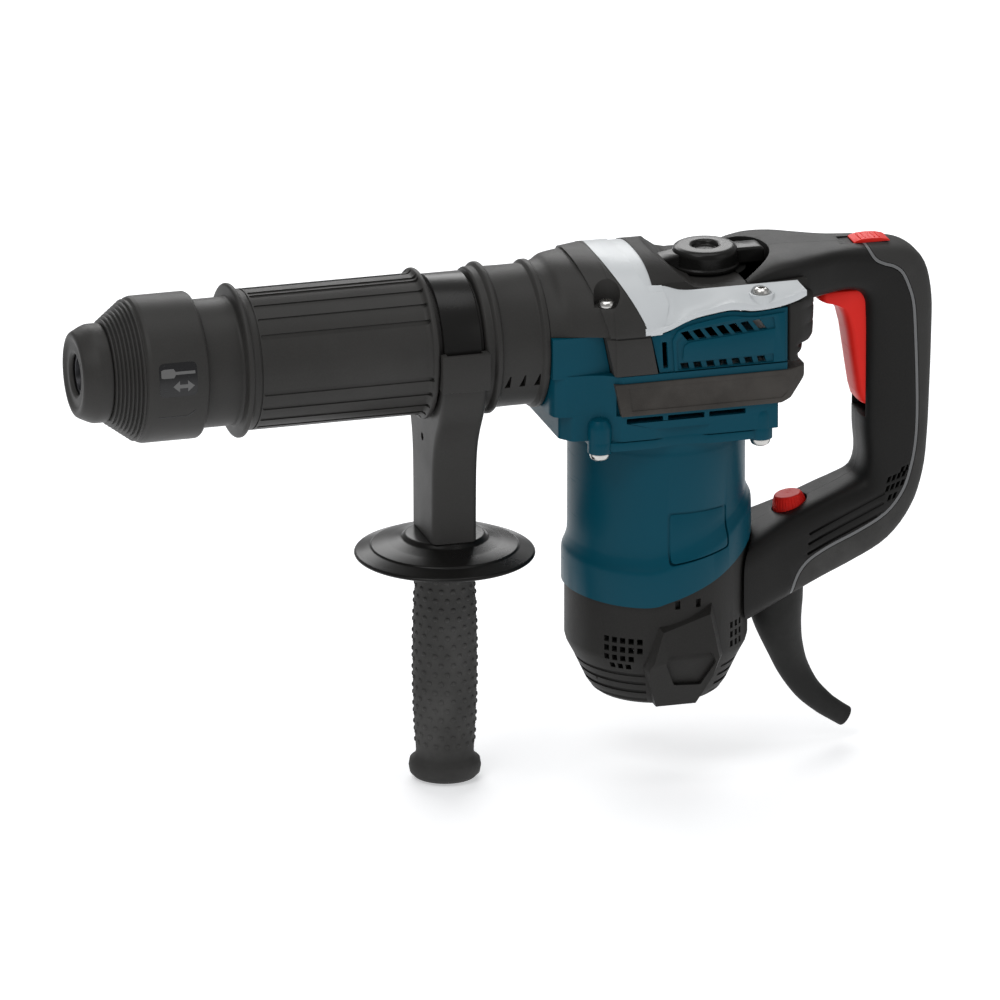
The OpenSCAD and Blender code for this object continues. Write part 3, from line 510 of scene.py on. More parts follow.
# ---------------------------------------------------------------- repeats
class Field:
    """A geometry tree's socket that adds Math or Vector Math nodes in an expression."""

    def __init__(self, tree, socket, kind="ShaderNodeMath"):
        self.tree, self.socket, self.kind = tree, socket, kind

    def op(self, operation, *others):
        made = self.tree.nodes.new(self.kind)
        made.operation = operation
        for slot, value in enumerate((self, *others)):
            if isinstance(value, Field):
                self.tree.links.new(value.socket, made.inputs[slot])
            else:
                made.inputs[slot].default_value = value
        return Field(self.tree, made.outputs[0], self.kind)

    def __add__(self, other):
        return self.op("ADD", other)

    def __mod__(self, other):
        return self.op("MODULO", other)

    def __truediv__(self, other):
        return self.op("DIVIDE", other)

    def scaled(self, factor):
        made = self.tree.nodes.new("ShaderNodeVectorMath")
        made.operation = "SCALE"
        self.tree.links.new(self.socket, made.inputs[0])
        self.tree.links.new(factor.socket, made.inputs["Scale"])
        return Field(self.tree, made.outputs[0], self.kind)


REPEAT_INPUTS = {
    "Piece": "NodeSocketObject", "Rows": "NodeSocketInt", "Columns": "NodeSocketInt",
    "Start": "NodeSocketVector", "Row Step": "NodeSocketVector", "Column Step": "NodeSocketVector",
    "Turn": "NodeSocketVector", "Row Turn": "NodeSocketVector", "Column Turn": "NodeSocketVector",
    "Material": "NodeSocketMaterial",
}


def repeat_tree():
    """Rows and columns of one piece, each stepped and turned from the one before."""
    tree = bpy.data.node_groups.new("rows_and_columns", "GeometryNodeTree")
    for name, kind in REPEAT_INPUTS.items():
        tree.interface.new_socket(name, in_out="INPUT", socket_type=kind)
    tree.interface.new_socket("Geometry", in_out="OUTPUT", socket_type="NodeSocketGeometry")
    given, result = tree.nodes.new("NodeGroupInput"), tree.nodes.new("NodeGroupOutput")
    number = {n: Field(tree, given.outputs[n]) for n in ("Rows", "Columns")}
    vector = {n: Field(tree, given.outputs[n], "ShaderNodeVectorMath") for n in REPEAT_INPUTS}
    index = Field(tree, tree.nodes.new("GeometryNodeInputIndex").outputs[0])
    row = (index / number["Columns"]).op("FLOOR")
    column = index % number["Columns"]
    place = vector["Start"] + vector["Row Step"].scaled(row) + vector["Column Step"].scaled(column)
    turn = vector["Turn"] + vector["Row Turn"].scaled(row) + vector["Column Turn"].scaled(column)

    points = tree.nodes.new("GeometryNodePoints")
    tree.links.new(number["Rows"].op("MULTIPLY", number["Columns"]).socket, points.inputs["Count"])
    tree.links.new(place.socket, points.inputs["Position"])
    piece = tree.nodes.new("GeometryNodeObjectInfo")
    tree.links.new(given.outputs["Piece"], piece.inputs["Object"])
    copies = tree.nodes.new("GeometryNodeInstanceOnPoints")
    tree.links.new(points.outputs[0], copies.inputs["Points"])
    tree.links.new(piece.outputs["Geometry"], copies.inputs["Instance"])
    tree.links.new(turn.socket, copies.inputs["Rotation"])
    real = tree.nodes.new("GeometryNodeRealizeInstances")
    tree.links.new(copies.outputs[0], real.inputs[0])
    coloured = tree.nodes.new("GeometryNodeSetMaterial")
    tree.links.new(real.outputs[0], coloured.inputs["Geometry"])
    tree.links.new(given.outputs["Material"], coloured.inputs["Material"])
    tree.links.new(coloured.outputs[0], result.inputs[0])
    return tree


REPEAT = repeat_tree()


def repeated(name, piece, rows=1, columns=1, start=(0, 0, 0), row_step=(0, 0, 0), column_step=(0, 0, 0),
             turn=(0, 0, 0), row_turn=(0, 0, 0), column_turn=(0, 0, 0)):
    """Copies of a piece by the repeat tree as one plain mesh; places in millimetres, turns in degrees."""
    places = {"Start": start, "Row Step": row_step, "Column Step": column_step}
    turns = {"Turn": turn, "Row Turn": row_turn, "Column Turn": column_turn}
    values = {"Piece": piece, "Rows": rows, "Columns": columns, "Material": FINISH["black_plastic"]}
    values.update({n: [c * MM for c in v] for n, v in places.items()})
    values.update({n: [math.radians(c) for c in v] for n, v in turns.items()})
    holder = new_object(name, bpy.data.meshes.new(name))
    mod = holder.modifiers.new("repeat", "NODES")
    mod.node_group = REPEAT
    for item in REPEAT.interface.items_tree:
        if item.in_out == "INPUT":
            mod[item.identifier] = values[item.name]
    baked(holder)
    bpy.data.objects.remove(piece)
    return holder


def at_flange_screws(name, piece, start=(0, 0, 0)):
    """Copies of a piece at all four flange screws, from the one at the near front screw."""
    return repeated(name, piece, rows=2, columns=2, start=start, row_step=(FLANGE_SCREW_STEP, 0, 0),
                    column_step=(0, FLANGE_SCREW_STEP, 0))


def flange_screw_places():
    """The four screws' (x, y), front ones first."""
    far_x, far_y = FLANGE_SCREW_X + FLANGE_SCREW_STEP, FLANGE_SCREW_Y + FLANGE_SCREW_STEP
    return [(x, y) for x in (FLANGE_SCREW_X, far_x) for y in (FLANGE_SCREW_Y, far_y)]


def torx_star(outer, inner, z0, z1):
    """Recess of a six-lobed screw drive."""
    ring = [
        ((outer + inner) / 2 + (outer - inner) / 2 * math.cos(6 * t), t)
        for t in (math.tau * k / 48 for k in range(48))
    ]
    return plan("torx_recess", [(r * math.cos(t), r * math.sin(t)) for r, t in ring], z0, z1)


def pan_head(name, radius, height, length, shank):
    """A pan-headed screw with a six-lobed recess, head up, seat at the origin."""
    profile = [(0, -length), (shank - 0.4, -length), (shank, 0.4 - length), (shank, 0), (radius, 0),
               (radius, height * 0.35), (radius * 0.9, height * 0.75), (radius * 0.62, height), (0, height)]
    screw = lathe(name, rounded(profile, 0.3, 2), "Z", steps=40)
    return cut(screw, torx_star(radius * 0.5, radius * 0.36, height * 0.45, height + 1))


# CAD nodes that a dedicated piece below stands for
DONE = set()


def finished(obj, slot, *nodes, body=None, material=None, angle=35.0):
    """Settles a dedicated piece and notes the CAD nodes that it stands for."""
    DONE.update(nodes)
    return settle(obj, body or BODY_OF[nodes[0]], slot, *nodes, material=material, angle=angle)


# ---------------------------------------------------------------- nose and barrel
def dust_cap():
    """Turned rubber cap round the socket's mouth."""
    profile = [(10.8, -0.3), (10.8, -1.6), (12.4, -2.9), (16.5, -2.3), (20.0, -4.0), (22.4, -3.4),
               (25.2, 2.2), (26.2, 5.0), (26.2, 12.0), (15.06, 12.0), (15.06, -0.3)]
    finished(lathe("dust_cap_moulding", rounded(profile, 1.2, 3), "X"), "cover_plastic", "dust_cap")


def locking_sleeve():
    """Ribbed cone in front of a plain collar."""
    rings, first, last = 8, 12.3, 27.0
    pitch = (last - first) / rings
    cone = []
    for i in range(rings):
        x, r = first + pitch * i, 26.6 + (37.4 - 26.6) * (i + 1) / rings
        cone += [(r - 0.1, x), (r, x + pitch * 0.5), (r - 0.5, x + pitch * 0.72),
                 (r - 0.55, x + pitch * 0.98)]
    profile = [(16.0, first)] + cone + [(38.2, 28.0), (38.8, 30.0), (38.8, 58.4), (38.1, 59.7),
                                        (35.4, 60.2), (34.4, 61.4), (34.4, 42.0), (30.0, 40.0),
                                        (30.0, 26.0), (16.0, 26.0)]
    finished(lathe("locking_sleeve_body", rounded(profile, 0.35, 2), "X", steps=128), "cover_plastic",
             "locking_sleeve")


SIGN_X = 43.0
SIGN_LEAN = 8.0


def on_sleeve(name, outline, r0, r1, lean):
    """A thin raised shape on the sleeve; its outline is (along X, up) about the sign's centre."""
    tube = lathe(name, [(r0, 28.5), (r1, 28.5), (r1, 58.0), (r0, 58.0)], "X", steps=128)
    die = slab("die", [(SIGN_X + x, z) for x, z in outline], -60, -10)
    turned(die, -lean, "X", (0, 0, 0))
    return cut(tube, die, "INTERSECT")


def sleeve_sign():
    """Generic tool-change sign: a chisel over a two-way arrow on a dark panel."""
    panel = rounded([(-10.2, -9), (10.2, -9), (10.2, 9), (-10.2, 9)], 3.0, 5)
    face = on_sleeve("sign_panel", panel, 38.7, 38.95, SIGN_LEAN)
    finished(face, "gloss_black", body="locking_sleeve", material=pictogram_face)
    chisel = [(-9.2, 1.6), (-7.8, 1.2), (-2.4, 1.2), (-1.4, 2.8), (9.2, 2.8), (9.2, 4.4), (-1.4, 4.4),
              (-2.4, 6.0), (-7.8, 6.0), (-9.2, 5.4)]
    arrow = [(-3.0, -3.6), (0.6, -6.6), (0.6, -4.6), (5.0, -4.6), (5.0, -6.6), (8.6, -3.6), (5.0, -0.6),
             (5.0, -2.6), (0.6, -2.6), (0.6, -0.6)]
    line = [(-10, -0.25), (6.4, -0.25), (9.8, 3.0), (9.8, 3.7), (5.6, 0.25), (-10, 0.25)]
    marks = [on_sleeve("sign_mark", shape, 38.9, 39.03, SIGN_LEAN) for shape in (chisel, arrow)]
    finished(joined("sign_marks", *marks), "gloss_black", body="locking_sleeve", material=pictogram_ink)
    finished(on_sleeve("direction_line", line, 38.7, 38.9, -24.0), "gloss_black", body="locking_sleeve",
             material=pictogram_face)


def front_grip_cover():
    """Barrel cover with a ring flange at each end and channels between them."""
    profile = [(30.6, 55.0), (32.9, 55.0), (33.9, 56.0), (33.9, 79.4), (34.6, 80.6), (39.8, 81.0),
               (40.8, 81.8), (40.8, 83.4), (39.9, 84.2), (37.9, 84.8), (37.3, 86.4), (37.3, 179.8),
               (38.2, 181.2), (39.4, 181.8), (40.0, 182.6), (40.0, 184.0), (39.2, 184.8), (34.0, 185.0),
               (34.0, 210.6), (30.6, 210.6)]
    cover = lathe("front_grip_shell", rounded(profile, 0.6, 3), "X", steps=144)
    # channels round the grip, with a plain field left on each flank
    channel = slab("channel", rounded([(0, -1.3), (92, -1.3), (92, 1.3), (0, 1.3)], 1.2, 3), -40.0, -36.6)
    end_rim = lathe("end_rim", [(36.7, 88.4), (39, 88.4), (39, 89.4), (36.7, 89.4)], "X", steps=144)
    for first, count in ((-172.0, 7), (12.0, 7), (-79.0, 4), (112.0, 4)):
        cut(cover, repeated("channels", copy_of(channel), columns=count, start=(90, 0, 0),
                            turn=(first, 0, 0), column_turn=(14.5, 0, 0)))
    bpy.data.objects.remove(channel)
    cut(cover, end_rim)
    finished(cover, "cover_plastic", "front_grip_cover")


def rear_barrel_cover():
    """Short cover behind the strap with slanted cooling slots on both flanks."""
    profile = [(30.6, 210.9), (37.0, 210.9), (38.0, 211.8), (38.0, 215.2), (39.2, 215.8), (40.2, 216.8),
               (40.2, 218.6), (39.2, 219.6), (37.4, 220.2), (37.2, 230), (37.2, 241.0), (38.2, 241.8),
               (39.2, 242.8), (39.2, 245.4), (30.6, 245.4)]
    cover = lathe("rear_barrel_shell", rounded(profile, 0.5, 3), "X", steps=120)
    vent = slab("vent", [(0, -3.8), (3.2, -3.8), (3.2, 3.8), (2.4, 3.8)], -40, -33)
    vents = repeated("vents", vent, rows=2, columns=3, start=(221.6, 0, 0), column_step=(8.1, 0, 0),
                     turn=(23, 0, 0), row_turn=(134, 0, 0))
    finished(cut(cover, vents), "cover_plastic", "rear_barrel_cover")


def bore_lining():
    """The tool holder, with rounded rims and blackened steel."""
    made = bevelled(merged_copy("tool_holder"), 0.4, 2)
    finished(made, SLOT_OF["tool_holder"], "tool_holder", material=blackened_steel)


# ---------------------------------------------------------------- side handle
def handle_strap():
    """Steel band round the barrel with an ear on each side."""
    profile = [(34.3, 187.9), (35.9, 187.9), (36.3, 188.4), (36.3, 208.4), (35.9, 208.9), (34.3, 208.9)]
    band = lathe("strap_band", profile, "X", steps=120)
    ears = both_sides(block("ear", (188.9, 207.9), (-39.4, -35.8), (-6, 2)))
    finished(bevelled(fused(band, ears), 0.5, 2), "gloss_black", "handle_strap")


# height, half width across the hammer and half length along it
BRACKET = [(5, 41.2, 12.2), (-4, 41.6, 12.2), (-14, 41.0, 12.2), (-24, 38.6, 12.2), (-33, 34.2, 12.2),
           (-42, 28.6, 12.2), (-52, 24.0, 12.2), (-64, 21.6, 12.2), (-80, 20.8, 12.2), (-106, 20.4, 12.2)]


def handle_bracket():
    """Plastic bracket from the strap down to the guard disc."""
    rings = []
    for z, half, length in through(BRACKET, 4):
        outline = rounded([(-length, -half), (length, -half), (length, half), (-length, half)], 4.2, 5)
        rings.append([(SIDE_X + x, y, z) for x, y in outline])
    tab = bevelled(block("tab", (SIDE_X - 13.2, SIDE_X + 13.2), (-43.0, -34), (-15, 5)), 1.0, 2)
    body = fused(lofted("bracket_body", rings), both_sides(tab))
    cut(body, rod("band_room", (SIDE_X - 30, 0, 0), (SIDE_X + 30, 0, 0), 36.35, 120))
    cut(body, both_sides(block("ear_room", (188.7, 208.1), (-39.7, -30), (-6.2, 10))))
    cut(body, rod("bolt_room", (SIDE_X, 0, -130), (SIDE_X, 0, -64), BOLT_ROOM_R))
    # the bolt's six-sided head sits in the bracket
    cut(body, rod("nut_room", (SIDE_X, 0, -72), (SIDE_X, 0, -60), 10.0, 6))
    cut(body, rod("front_hole", (SIDE_X - 20, 0, -52), (SIDE_X - 6, 0, -52), 2.2, 24))
    finished(bevelled(body, 0.7, 2, 40), "cover_plastic", "handle_bracket", angle=40)


def guard_disc():
    """Glossy disc between the hand and the stem."""
    profile = [(BOLT_ROOM_R, -117.4), (16.5, -117.4), (30, -117.0), (45.5, -118.6), (47.4, -118.2),
               (48, -117.2), (47.2, -116.2), (39.4, -113.4), (38.8, -112.6), (30, -110.6), (23, -108.6),
               (21.4, -106.9), (20.6, -106.3), (BOLT_ROOM_R, -106.3)]
    finished(lathe("guard_disc_moulding", rounded(profile, 0.7, 3), "Z", (SIDE_X, 0, 0), 128),
             "gloss_black", "guard_disc")


GRIP_LOW = -242.0
STUD_ROWS, STUDS_ROUND, STUD_TOP, STUD_PITCH = 20, 16, -124.5, 5.1


def side_grip():
    """Swelling grip with a foot, and its studs as a piece of their own."""
    run = through([(15.0, -118.6), (15.2, -126), (16.3, -144), (16.9, -164), (16.9, -186), (16.4, -206),
                   (15.3, GRIP_LOW + 14)], 4)
    foot = [(15.8, GRIP_LOW + 11.6), (18.6, GRIP_LOW + 9.4), (19.2, GRIP_LOW + 6), (18.6, GRIP_LOW + 2.6),
            (16.6, GRIP_LOW + 0.5), (13.5, GRIP_LOW)]
    profile = [(0, -117.6), (14.4, -117.6)] + run + foot + [(0, GRIP_LOW)]
    body = lathe("side_grip_moulding", profile, "Z", (SIDE_X, 0, 0), 96)
    cut(body, rod("bolt_room", (SIDE_X, 0, -152), (SIDE_X, 0, -100), BOLT_ROOM_R))
    finished(body, "soft_rubber", "side_grip", angle=50)
    # staggered rows of studs follow the swell of the grip
    studs = []
    between = 360 / STUDS_ROUND
    for row in range(STUD_ROWS):
        z = STUD_TOP - STUD_PITCH * row
        radius = grip_radius(run, z)
        stud = lathe("stud", [(0, 0.75), (0.7, 0.66), (1.25, 0.36), (1.55, -0.3), (0, -0.3)], "Z", steps=10)
        turned(stud, 90, "Y", (0, 0, 0))
        stud.data.transform(Matrix.Translation((radius * MM, 0, 0)))
        studs.append(repeated("studs", stud, columns=STUDS_ROUND, start=(SIDE_X, 0, z),
                              turn=(0, 0, between / 2 * (row % 2)), column_turn=(0, 0, between)))
    finished(joined("side_grip_studs", *studs), "soft_rubber", body="side_grip", angle=50)


def grip_radius(run, z):
    """The grip's radius at a height, between the points of its run."""
    for (r0, z0), (r1, z1) in zip(run, run[1:]):
        if z1 <= z <= z0:
            return r0 + (r1 - r0) * (z - z0) / (z1 - z0)
    return run[-1][0]


# ---------------------------------------------------------------- head
# place along the hammer, half width, top, and squareness of the head's section
HEAD_STATIONS = [(245.6, 39.8, 38.4, 2.05), (250.6, 41.0, 39.6, 2.1), (255, 42.2, 42.2, 2.15),
                 (262, 43.6, 43.0, 2.25), (270, 46.0, 43.0, 2.4), (278, 49.0, 43.0, 2.5),
                 (284, 50.0, 43.0, 2.5), (340, 50.0, 42.6, 2.5), (390, 50.0, 42.0, 2.5)]
HEAD_LOW = -30.0
ABOVE_HEAD = 44.5


def head_form(name, trim=0.0):
    """The head's rounded outer form, drawn in by a margin."""
    rings = []
    for x, half, top, power in through(HEAD_STATIONS, 4):
        arc = []
        for k in range(49):
            t = math.pi * k / 48
            y = math.copysign(abs(math.cos(t)) ** (2 / power), math.cos(t)) * (half - trim)
            arc.append((x, y, math.sin(t) ** (2 / power) * (top - trim)))
        rings.append([(x, half - trim, HEAD_LOW)] + arc + [(x, trim - half, HEAD_LOW)])
    return lofted(name, rings)


def head_room(z0, z1):
    """The straight-sided room of the gear housing."""
    return plan("head_room", [(254.2, -37.8), (274, -37.8), (284, -36.8), (363, -36.8), (363, 36.8),
                              (284, 36.8), (274, 37.8), (254.2, 37.8)], z0, z1)


def shell_room(top):
    """The head's inside, kept clear of its rounded shoulders."""
    return cut(head_form("shell_room", 3.2), block("span", (254.2, 363), (-37.4, 37.4), (-40, top)),
               "INTERSECT")


def part_of_head(name, outline, trim=0.0):
    """A stretch of the head's form seen from the side as an outline of (x, z)."""
    return cut(head_form(name, trim), slab("region", outline, -60, 60), "INTERSECT")


def seam_curve(x0, z0, x1, z1, bulge, steps=8):
    """A seam from one point down to another that bows forward or back."""
    return [
        (x0 + (x1 - x0) * t + bulge * math.sin(math.pi * t), z0 + (z1 - z0) * t)
        for t in (k / steps for k in range(steps + 1))
    ]


# the seam between the black shell and the trim band
SHELL_SEAM = seam_curve(277.4, ABOVE_HEAD, 296.6, 9.2, 1.2)


def raised_layer(name, depth, outline):
    """The head's skin down to a depth within a side outline, as a cutter for a shallow step."""
    skin = cut(head_form(name, -3.0), head_form("inside", depth))
    return cut(skin, slab("region", outline, -70, 70), "INTERSECT")


def screw_room(place, seat, top, radius, shank):
    """A screw head's round pocket from its seat up, over the hole for its shank."""
    pocket = rod("wide", (*place, seat), (*place, top), radius, 40)
    hole = rod("narrow", (*place, shank[0]), (*place, shank[1]), 2.3, 24)
    return both_sides(joined("screw_room", pocket, hole))


def top_front_shell():
    """Black shell over the front of the head, with a tongue down each flank."""
    tongue = [(300.6, -11.8), (277.4, -11.8), (273.2, 9.2)]
    shell = part_of_head("front_shell", [(245.7, 9.2), (245.7, ABOVE_HEAD)] + SHELL_SEAM + tongue)
    # the cheek ahead of the crease lies a step lower
    crease = seam_curve(264.4, ABOVE_HEAD, 275.6, 9.0, 0.6)
    cut(shell, raised_layer("cheek", 1.3, [(240, 9.0), (240, 50)] + crease))
    # thin step above the lower tongue
    cut(shell, raised_layer("ring", 0.8, [(272, 8.2), (272, 9.2), (300, 9.2), (300, 8.2)]))
    cut(shell, rod("barrel_room", (240, 0, 0), (262, 0, 0), BARREL_ROOM_R, 96))
    cut(shell, shell_room(24))
    cut(shell, screw_room((SHELL_SCREW_X, SHELL_SCREW_Y), 24, 60, 7.0, (2, 25)))
    finished(bevelled(shell, 0.7, 3, 28), "cover_plastic", "top_front_shell", angle=40)


def shell_screws():
    """One screw in each shoulder of the black shell."""
    screw = pan_head("shell_screw", 4.6, 3.4, 12, 2.2)
    pair = repeated("shell_screw_pair", screw, columns=2, start=(SHELL_SCREW_X, SHELL_SCREW_Y, 24.1),
                    column_step=(0, -2 * SHELL_SCREW_Y, 0))
    finished(pair, "zinc", "shell_screws")


# wing of the trim: place along the hammer, lip above the lower edge, lower edge, hollow,
# and share of the wing's form
WING = [(294.0, 3.0, 9.3, 0.4, 0.0), (301.0, 3.0, 9.8, 1.0, 0.0), (308.0, 3.0, 11.6, 1.8, 0.25),
        (315.0, 3.2, 14.6, 2.8, 0.8), (322.0, 3.2, 16.9, 3.0, 1.0), (331.0, 3.4, 18.4, 2.4, 1.0),
        (340.0, 4.2, 19.4, 1.0, 1.0), (347.0, 4.0, 18.8, 0.4, 1.0), (353.0, 3.6, 17.9, 0.3, 1.0),
        (361.0, 3.4, 18.1, 0.0, 1.0), (370.0, 3.8, 19.4, 0.9, 1.0), (377.0, 4.2, 21.4, 1.4, 1.0),
        (382.0, 4.0, 23.6, 1.0, 1.0)]
WING_IN, WING_OUT, WING_FACE = 36.95, 49.6, 49.95
WING_TOP = 28.5


def trim_wing():
    """One concave wing along the near side with a lip that waves over the vents."""
    rings = []
    for x, rise, low, hollow, share in through(WING, 4):
        lip, foot = low + rise, low + 0.7
        ring = []
        for k in range(17):
            t = k / 16
            y = WING_IN + (WING_OUT - WING_IN) * t
            round_z = 42.6 * (1 - (y / 50.0) ** 2.5) ** 0.4 - 0.15
            wing_z = WING_TOP + (lip - WING_TOP) * t - hollow * math.sin(math.pi * t ** 1.2)
            ring.append((x, -y, max(round_z + (wing_z - round_z) * share, foot + 0.6 * rise + 0.1)))
        ring += [(x, -WING_FACE, foot + 0.6 * rise), (x, -WING_FACE, foot), (x, -49.4, low),
                 (x, -47.4, low), (x, -47.0, low + 1.4), (x, -WING_IN - 3, min(24.0, low + 2.4)),
                 (x, -WING_IN, 24.3)]
        rings.append(ring)
    return lofted("trim_wing", rings)


def trim_band():
    """Light grey band over the head with a wing along each flank."""
    front = [(x + 0.35, z) for x, z in SHELL_SEAM]
    rear = seam_curve(300.4, ABOVE_HEAD, 306.0, 33.4, 1.0)
    band = part_of_head("trim_body", front + [(303, 9.4), (308, 24.3)] + rear[::-1])
    cut(band, shell_room(24.3))
    # shallow stepped strip over the top
    crease = seam_curve(290.6, ABOVE_HEAD, 299.0, 30.0, 0.8)
    cut(band, raised_layer("strip", 0.7, crease + [(330, 30), (330, ABOVE_HEAD)]))
    fused(band, both_sides(trim_wing()))
    # hook at the rear end
    cut(band, both_sides(rod("hook", (388.5, -60, 33.0), (388.5, -30, 33.0), 9.0, 48)))
    place = (TRIM_SCREW_X, TRIM_SCREW_Y)
    fused(band, both_sides(rod("collar", (*place, 19.0), (*place, 25.7), 6.6, 48)))
    cut(band, screw_room(place, 24.6, 50, 5.5, (0, 24)))
    finished(bevelled(band, 0.5, 2, 32), "grey_trim", "trim_band", angle=38)


def trim_screws():
    """One screw in each wing's collar."""
    screw = pan_head("trim_screw", 4.5, 3.6, 4.4, 2.2)
    pair = repeated("trim_screw_pair", screw, columns=2, start=(TRIM_SCREW_X, TRIM_SCREW_Y, 24.65),
                    column_step=(0, -2 * TRIM_SCREW_Y, 0))
    finished(pair, "zinc", "trim_screws")


def top_cover():
    """Black cover behind the band, dished round the selector knob."""
    run = [(301.0, 24.6), (301.0, 44), (304, 43.6), (309, 42.0), (314, 38.4), (319, 33.4), (324, 29.8),
           (330, 28.4), (386.0, 28.4), (386.0, 24.6)]
    cover = part_of_head("cover_body", run, 0.25)
    cut(cover, block("sides", (290, 400), (-36.7, 36.7), (10, 60)), "INTERSECT")
    cut(cover, rod("knob_seat", (KNOB_X, 0, 10), (KNOB_X, 0, 60), 8.1, 48))
    # dished floor round the knob
    dish = lathe("dish", [(0, 27.6), (20.5, 27.6), (22.5, 29.0), (0, 29.0)], "Z", (KNOB_X, 0, 0), 96)
    cut(cover, dish)
    finished(bevelled(cover, 0.8, 3, 30), "black_plastic", "top_cover", angle=40)


def rear_housing():
    """Black rear block whose back is drawn in by small bellows towards the belt."""
    levels = [(-12, 9.0), (-10.4, 9.0), (-9.6, 7.2), (-8.4, 7.2), (-7.6, 11.0), (-5.4, 11.4), (-4.6, 9.2),
              (-3.4, 9.2), (-2.6, 15.4), (0.0, 17.0), (6, 17.4), (7, 16.6), (8, 17.4), (15, 17.6),
              (16, 16.8), (17, 17.6), (24.0, 17.6), (28.0, 17.6)]
    rings = []
    for z, reach in levels:
        back = 372.4 + reach
        outline = [(372.4, -49.4), (377 + reach * 0.1, -49.4), (back - 2.4, -44), (back, -36), (back, 36),
                   (back - 2.4, 44), (377 + reach * 0.1, 49.4), (372.4, 49.4)]
        rings.append([(x, y, z) for x, y in rounded(outline, 4.0, 3)])
    body = lofted("rear_block", rings)
    over = slab("over", [(360, 18.7), (372, 18.7), (376.2, 20.2), (381.0, 20.6), (395, 20.6), (395, 60),
                         (360, 60)], -70, 70)
    cut(body, over)
    cut(body, block("inner", (360, 386.6), (-34, 34), (-30, 24.4)))
    finished(bevelled(body, 0.6, 2, 38), "black_plastic", "rear_housing", angle=42)


def flank_hollow(top):
    """Wide upright cylinder that draws the near flank in between its lugs."""
    return rod("flank_hollow", (MOTOR_X, HOLLOW_Y, -60), (MOTOR_X, HOLLOW_Y, top), HOLLOW_R, 120)


def flange_screw_holes(top):
    """Cutter for the four screws' holes, up to a height."""
    place = (FLANGE_SCREW_X, FLANGE_SCREW_Y)
    return at_flange_screws("holes", rod("hole", (*place, -60), (*place, top), 2.2, 20))


def gear_housing():
    """Blue housing round the crank train, open to the barrel and the motor."""
    upper = [(245.7, -34), (247.2, -39.6), (253, -41.6), (264, -42.5), (272, -44.2), (278.6, -48.2),
             (279, -46.6), (372, -46.6), (372, 46.6), (279, 46.6), (278.6, 48.2), (272, 44.2), (264, 42.5),
             (253, 41.6), (247.2, 39.6), (245.7, 34)]
    lower = [(250.7, -34.6), (256.4, -42), (264, -42.5), (272, -44.2), (281, -49.6), (367, -49.6),
             (367, 49.6), (281, 49.6), (272, 44.2), (264, 42.5), (256.4, 42), (250.7, 34.6)]
    line = [(276.6, -47.4), (281, -49.8), (372, -49.8), (372, 49.8), (281, 49.8), (276.6, 47.4)]
    body = plan("lower_box", rounded(lower, 1.6, 4), -48.0, -34.0)
    face = [(245.7, -13), (245.7, 8.9), (272.8, 8.9), (277.0, -12.1), (277.0, -13)]
    fused(body, plan("upper_box", rounded(upper, 1.6, 4), -34.5, -12.0),
          slab("front_face", face, -41.4, 41.4),
          plan("blue_line", rounded(line, 1.5, 3), -16.0, -12.2))
    # hollows between the corner lugs
    cut(body, both_sides(flank_hollow(-42.5)))
    lug = lathe("lug", [(0, -48), (6.4, -48), (6.4, -41), (5.9, -38.6), (4.4, -36.2), (0, -34.6)], "Z",
                (FLANGE_SCREW_X, FLANGE_SCREW_Y, 0), 40)
    fused(body, at_flange_screws("lugs", lug))
    room = head_room(-60, 20)
    for x, y in flange_screw_places():
        cut(room, rod("boss", (x, y, -52), (x, y, -32), 5.6, 32))
    cut(body, room)
    cut(body, rod("barrel_room", (240, 0, 0), (262, 0, 0), BARREL_ROOM_R, 96))
    cut(body, flange_screw_holes(-36.5))
    slot = slab("slot", rounded([(283.6, -38.4), (303.6, -38.4), (303.6, -35.5), (283.6, -35.5)], 0.5, 2),
                -60, -30)
    slots = repeated("slots", slot, rows=2, columns=3, column_step=(22.6, 0, 0), row_step=(0, 90, 0))
    cut(body, slots)
    finished(bevelled(body, 0.8, 3, 32), "blue_plastic", "gear_housing", angle=40)


def side_vent_panel():
    """Raised frame with slanted slots above, square slots below and an upright slot in front."""
    edge = [(297.4, 8.4), (307, 10.4), (316, 14.6), (328, 17.0), (340, 18.4), (352, 16.8), (362, 17.2),
            (371.8, 18.0)]
    top = through(edge, 4)
    base = slab("panel", top + [(371.8, -11.8), (301.9, -11.8)], -48.8, -46.0)
    frame_top = [(x, z - 2.2) for x, z in top if x > 309]
    border = [(309.8, -11.4), (308.6, 5.6)] + frame_top[1:-1] + [(370.4, 15.4), (370.4, -11.4)]
    fused(base, slab("raised", border, -49.9, -47.0))
    field = [(311.4, -11.2), (310.6, 5.2), (316, 9.6), (330, 12.4), (345, 13.9), (364, 13.6), (365, 7.2),
             (350, 6.0), (318.0, 3.8), (315.0, 2.0), (314.2, -5.6), (316.4, -6.6), (364, -6.4),
             (364, -11.2)]
    cut(base, slab("recess", rounded(field, 0.8, 2), -60, -49.0))
    slanted = slab("slanted", [(317.0, 4.4), (321.0, 4.6), (316.8, 10.4), (312.8, 9.8)], -60, -40)
    cut(base, repeated("slanted_slots", slanted, columns=7, column_step=(6.6, 0, 0.42)))
    square = slab("square", [(314.0, -11.0), (318.2, -11.0), (317.2, -7.4), (313.0, -7.4)], -60, -40)
    cut(base, repeated("square_slots", square, columns=7, column_step=(7.0, 0, 0)))
    upright = rounded([(303.8, -9.6), (306.6, -9.6), (305.8, 5.0), (303.0, 5.0)], 0.5, 2)
    cut(base, slab("upright", upright, -60, -40))
    return bevelled(base, 0.3, 2, 35)


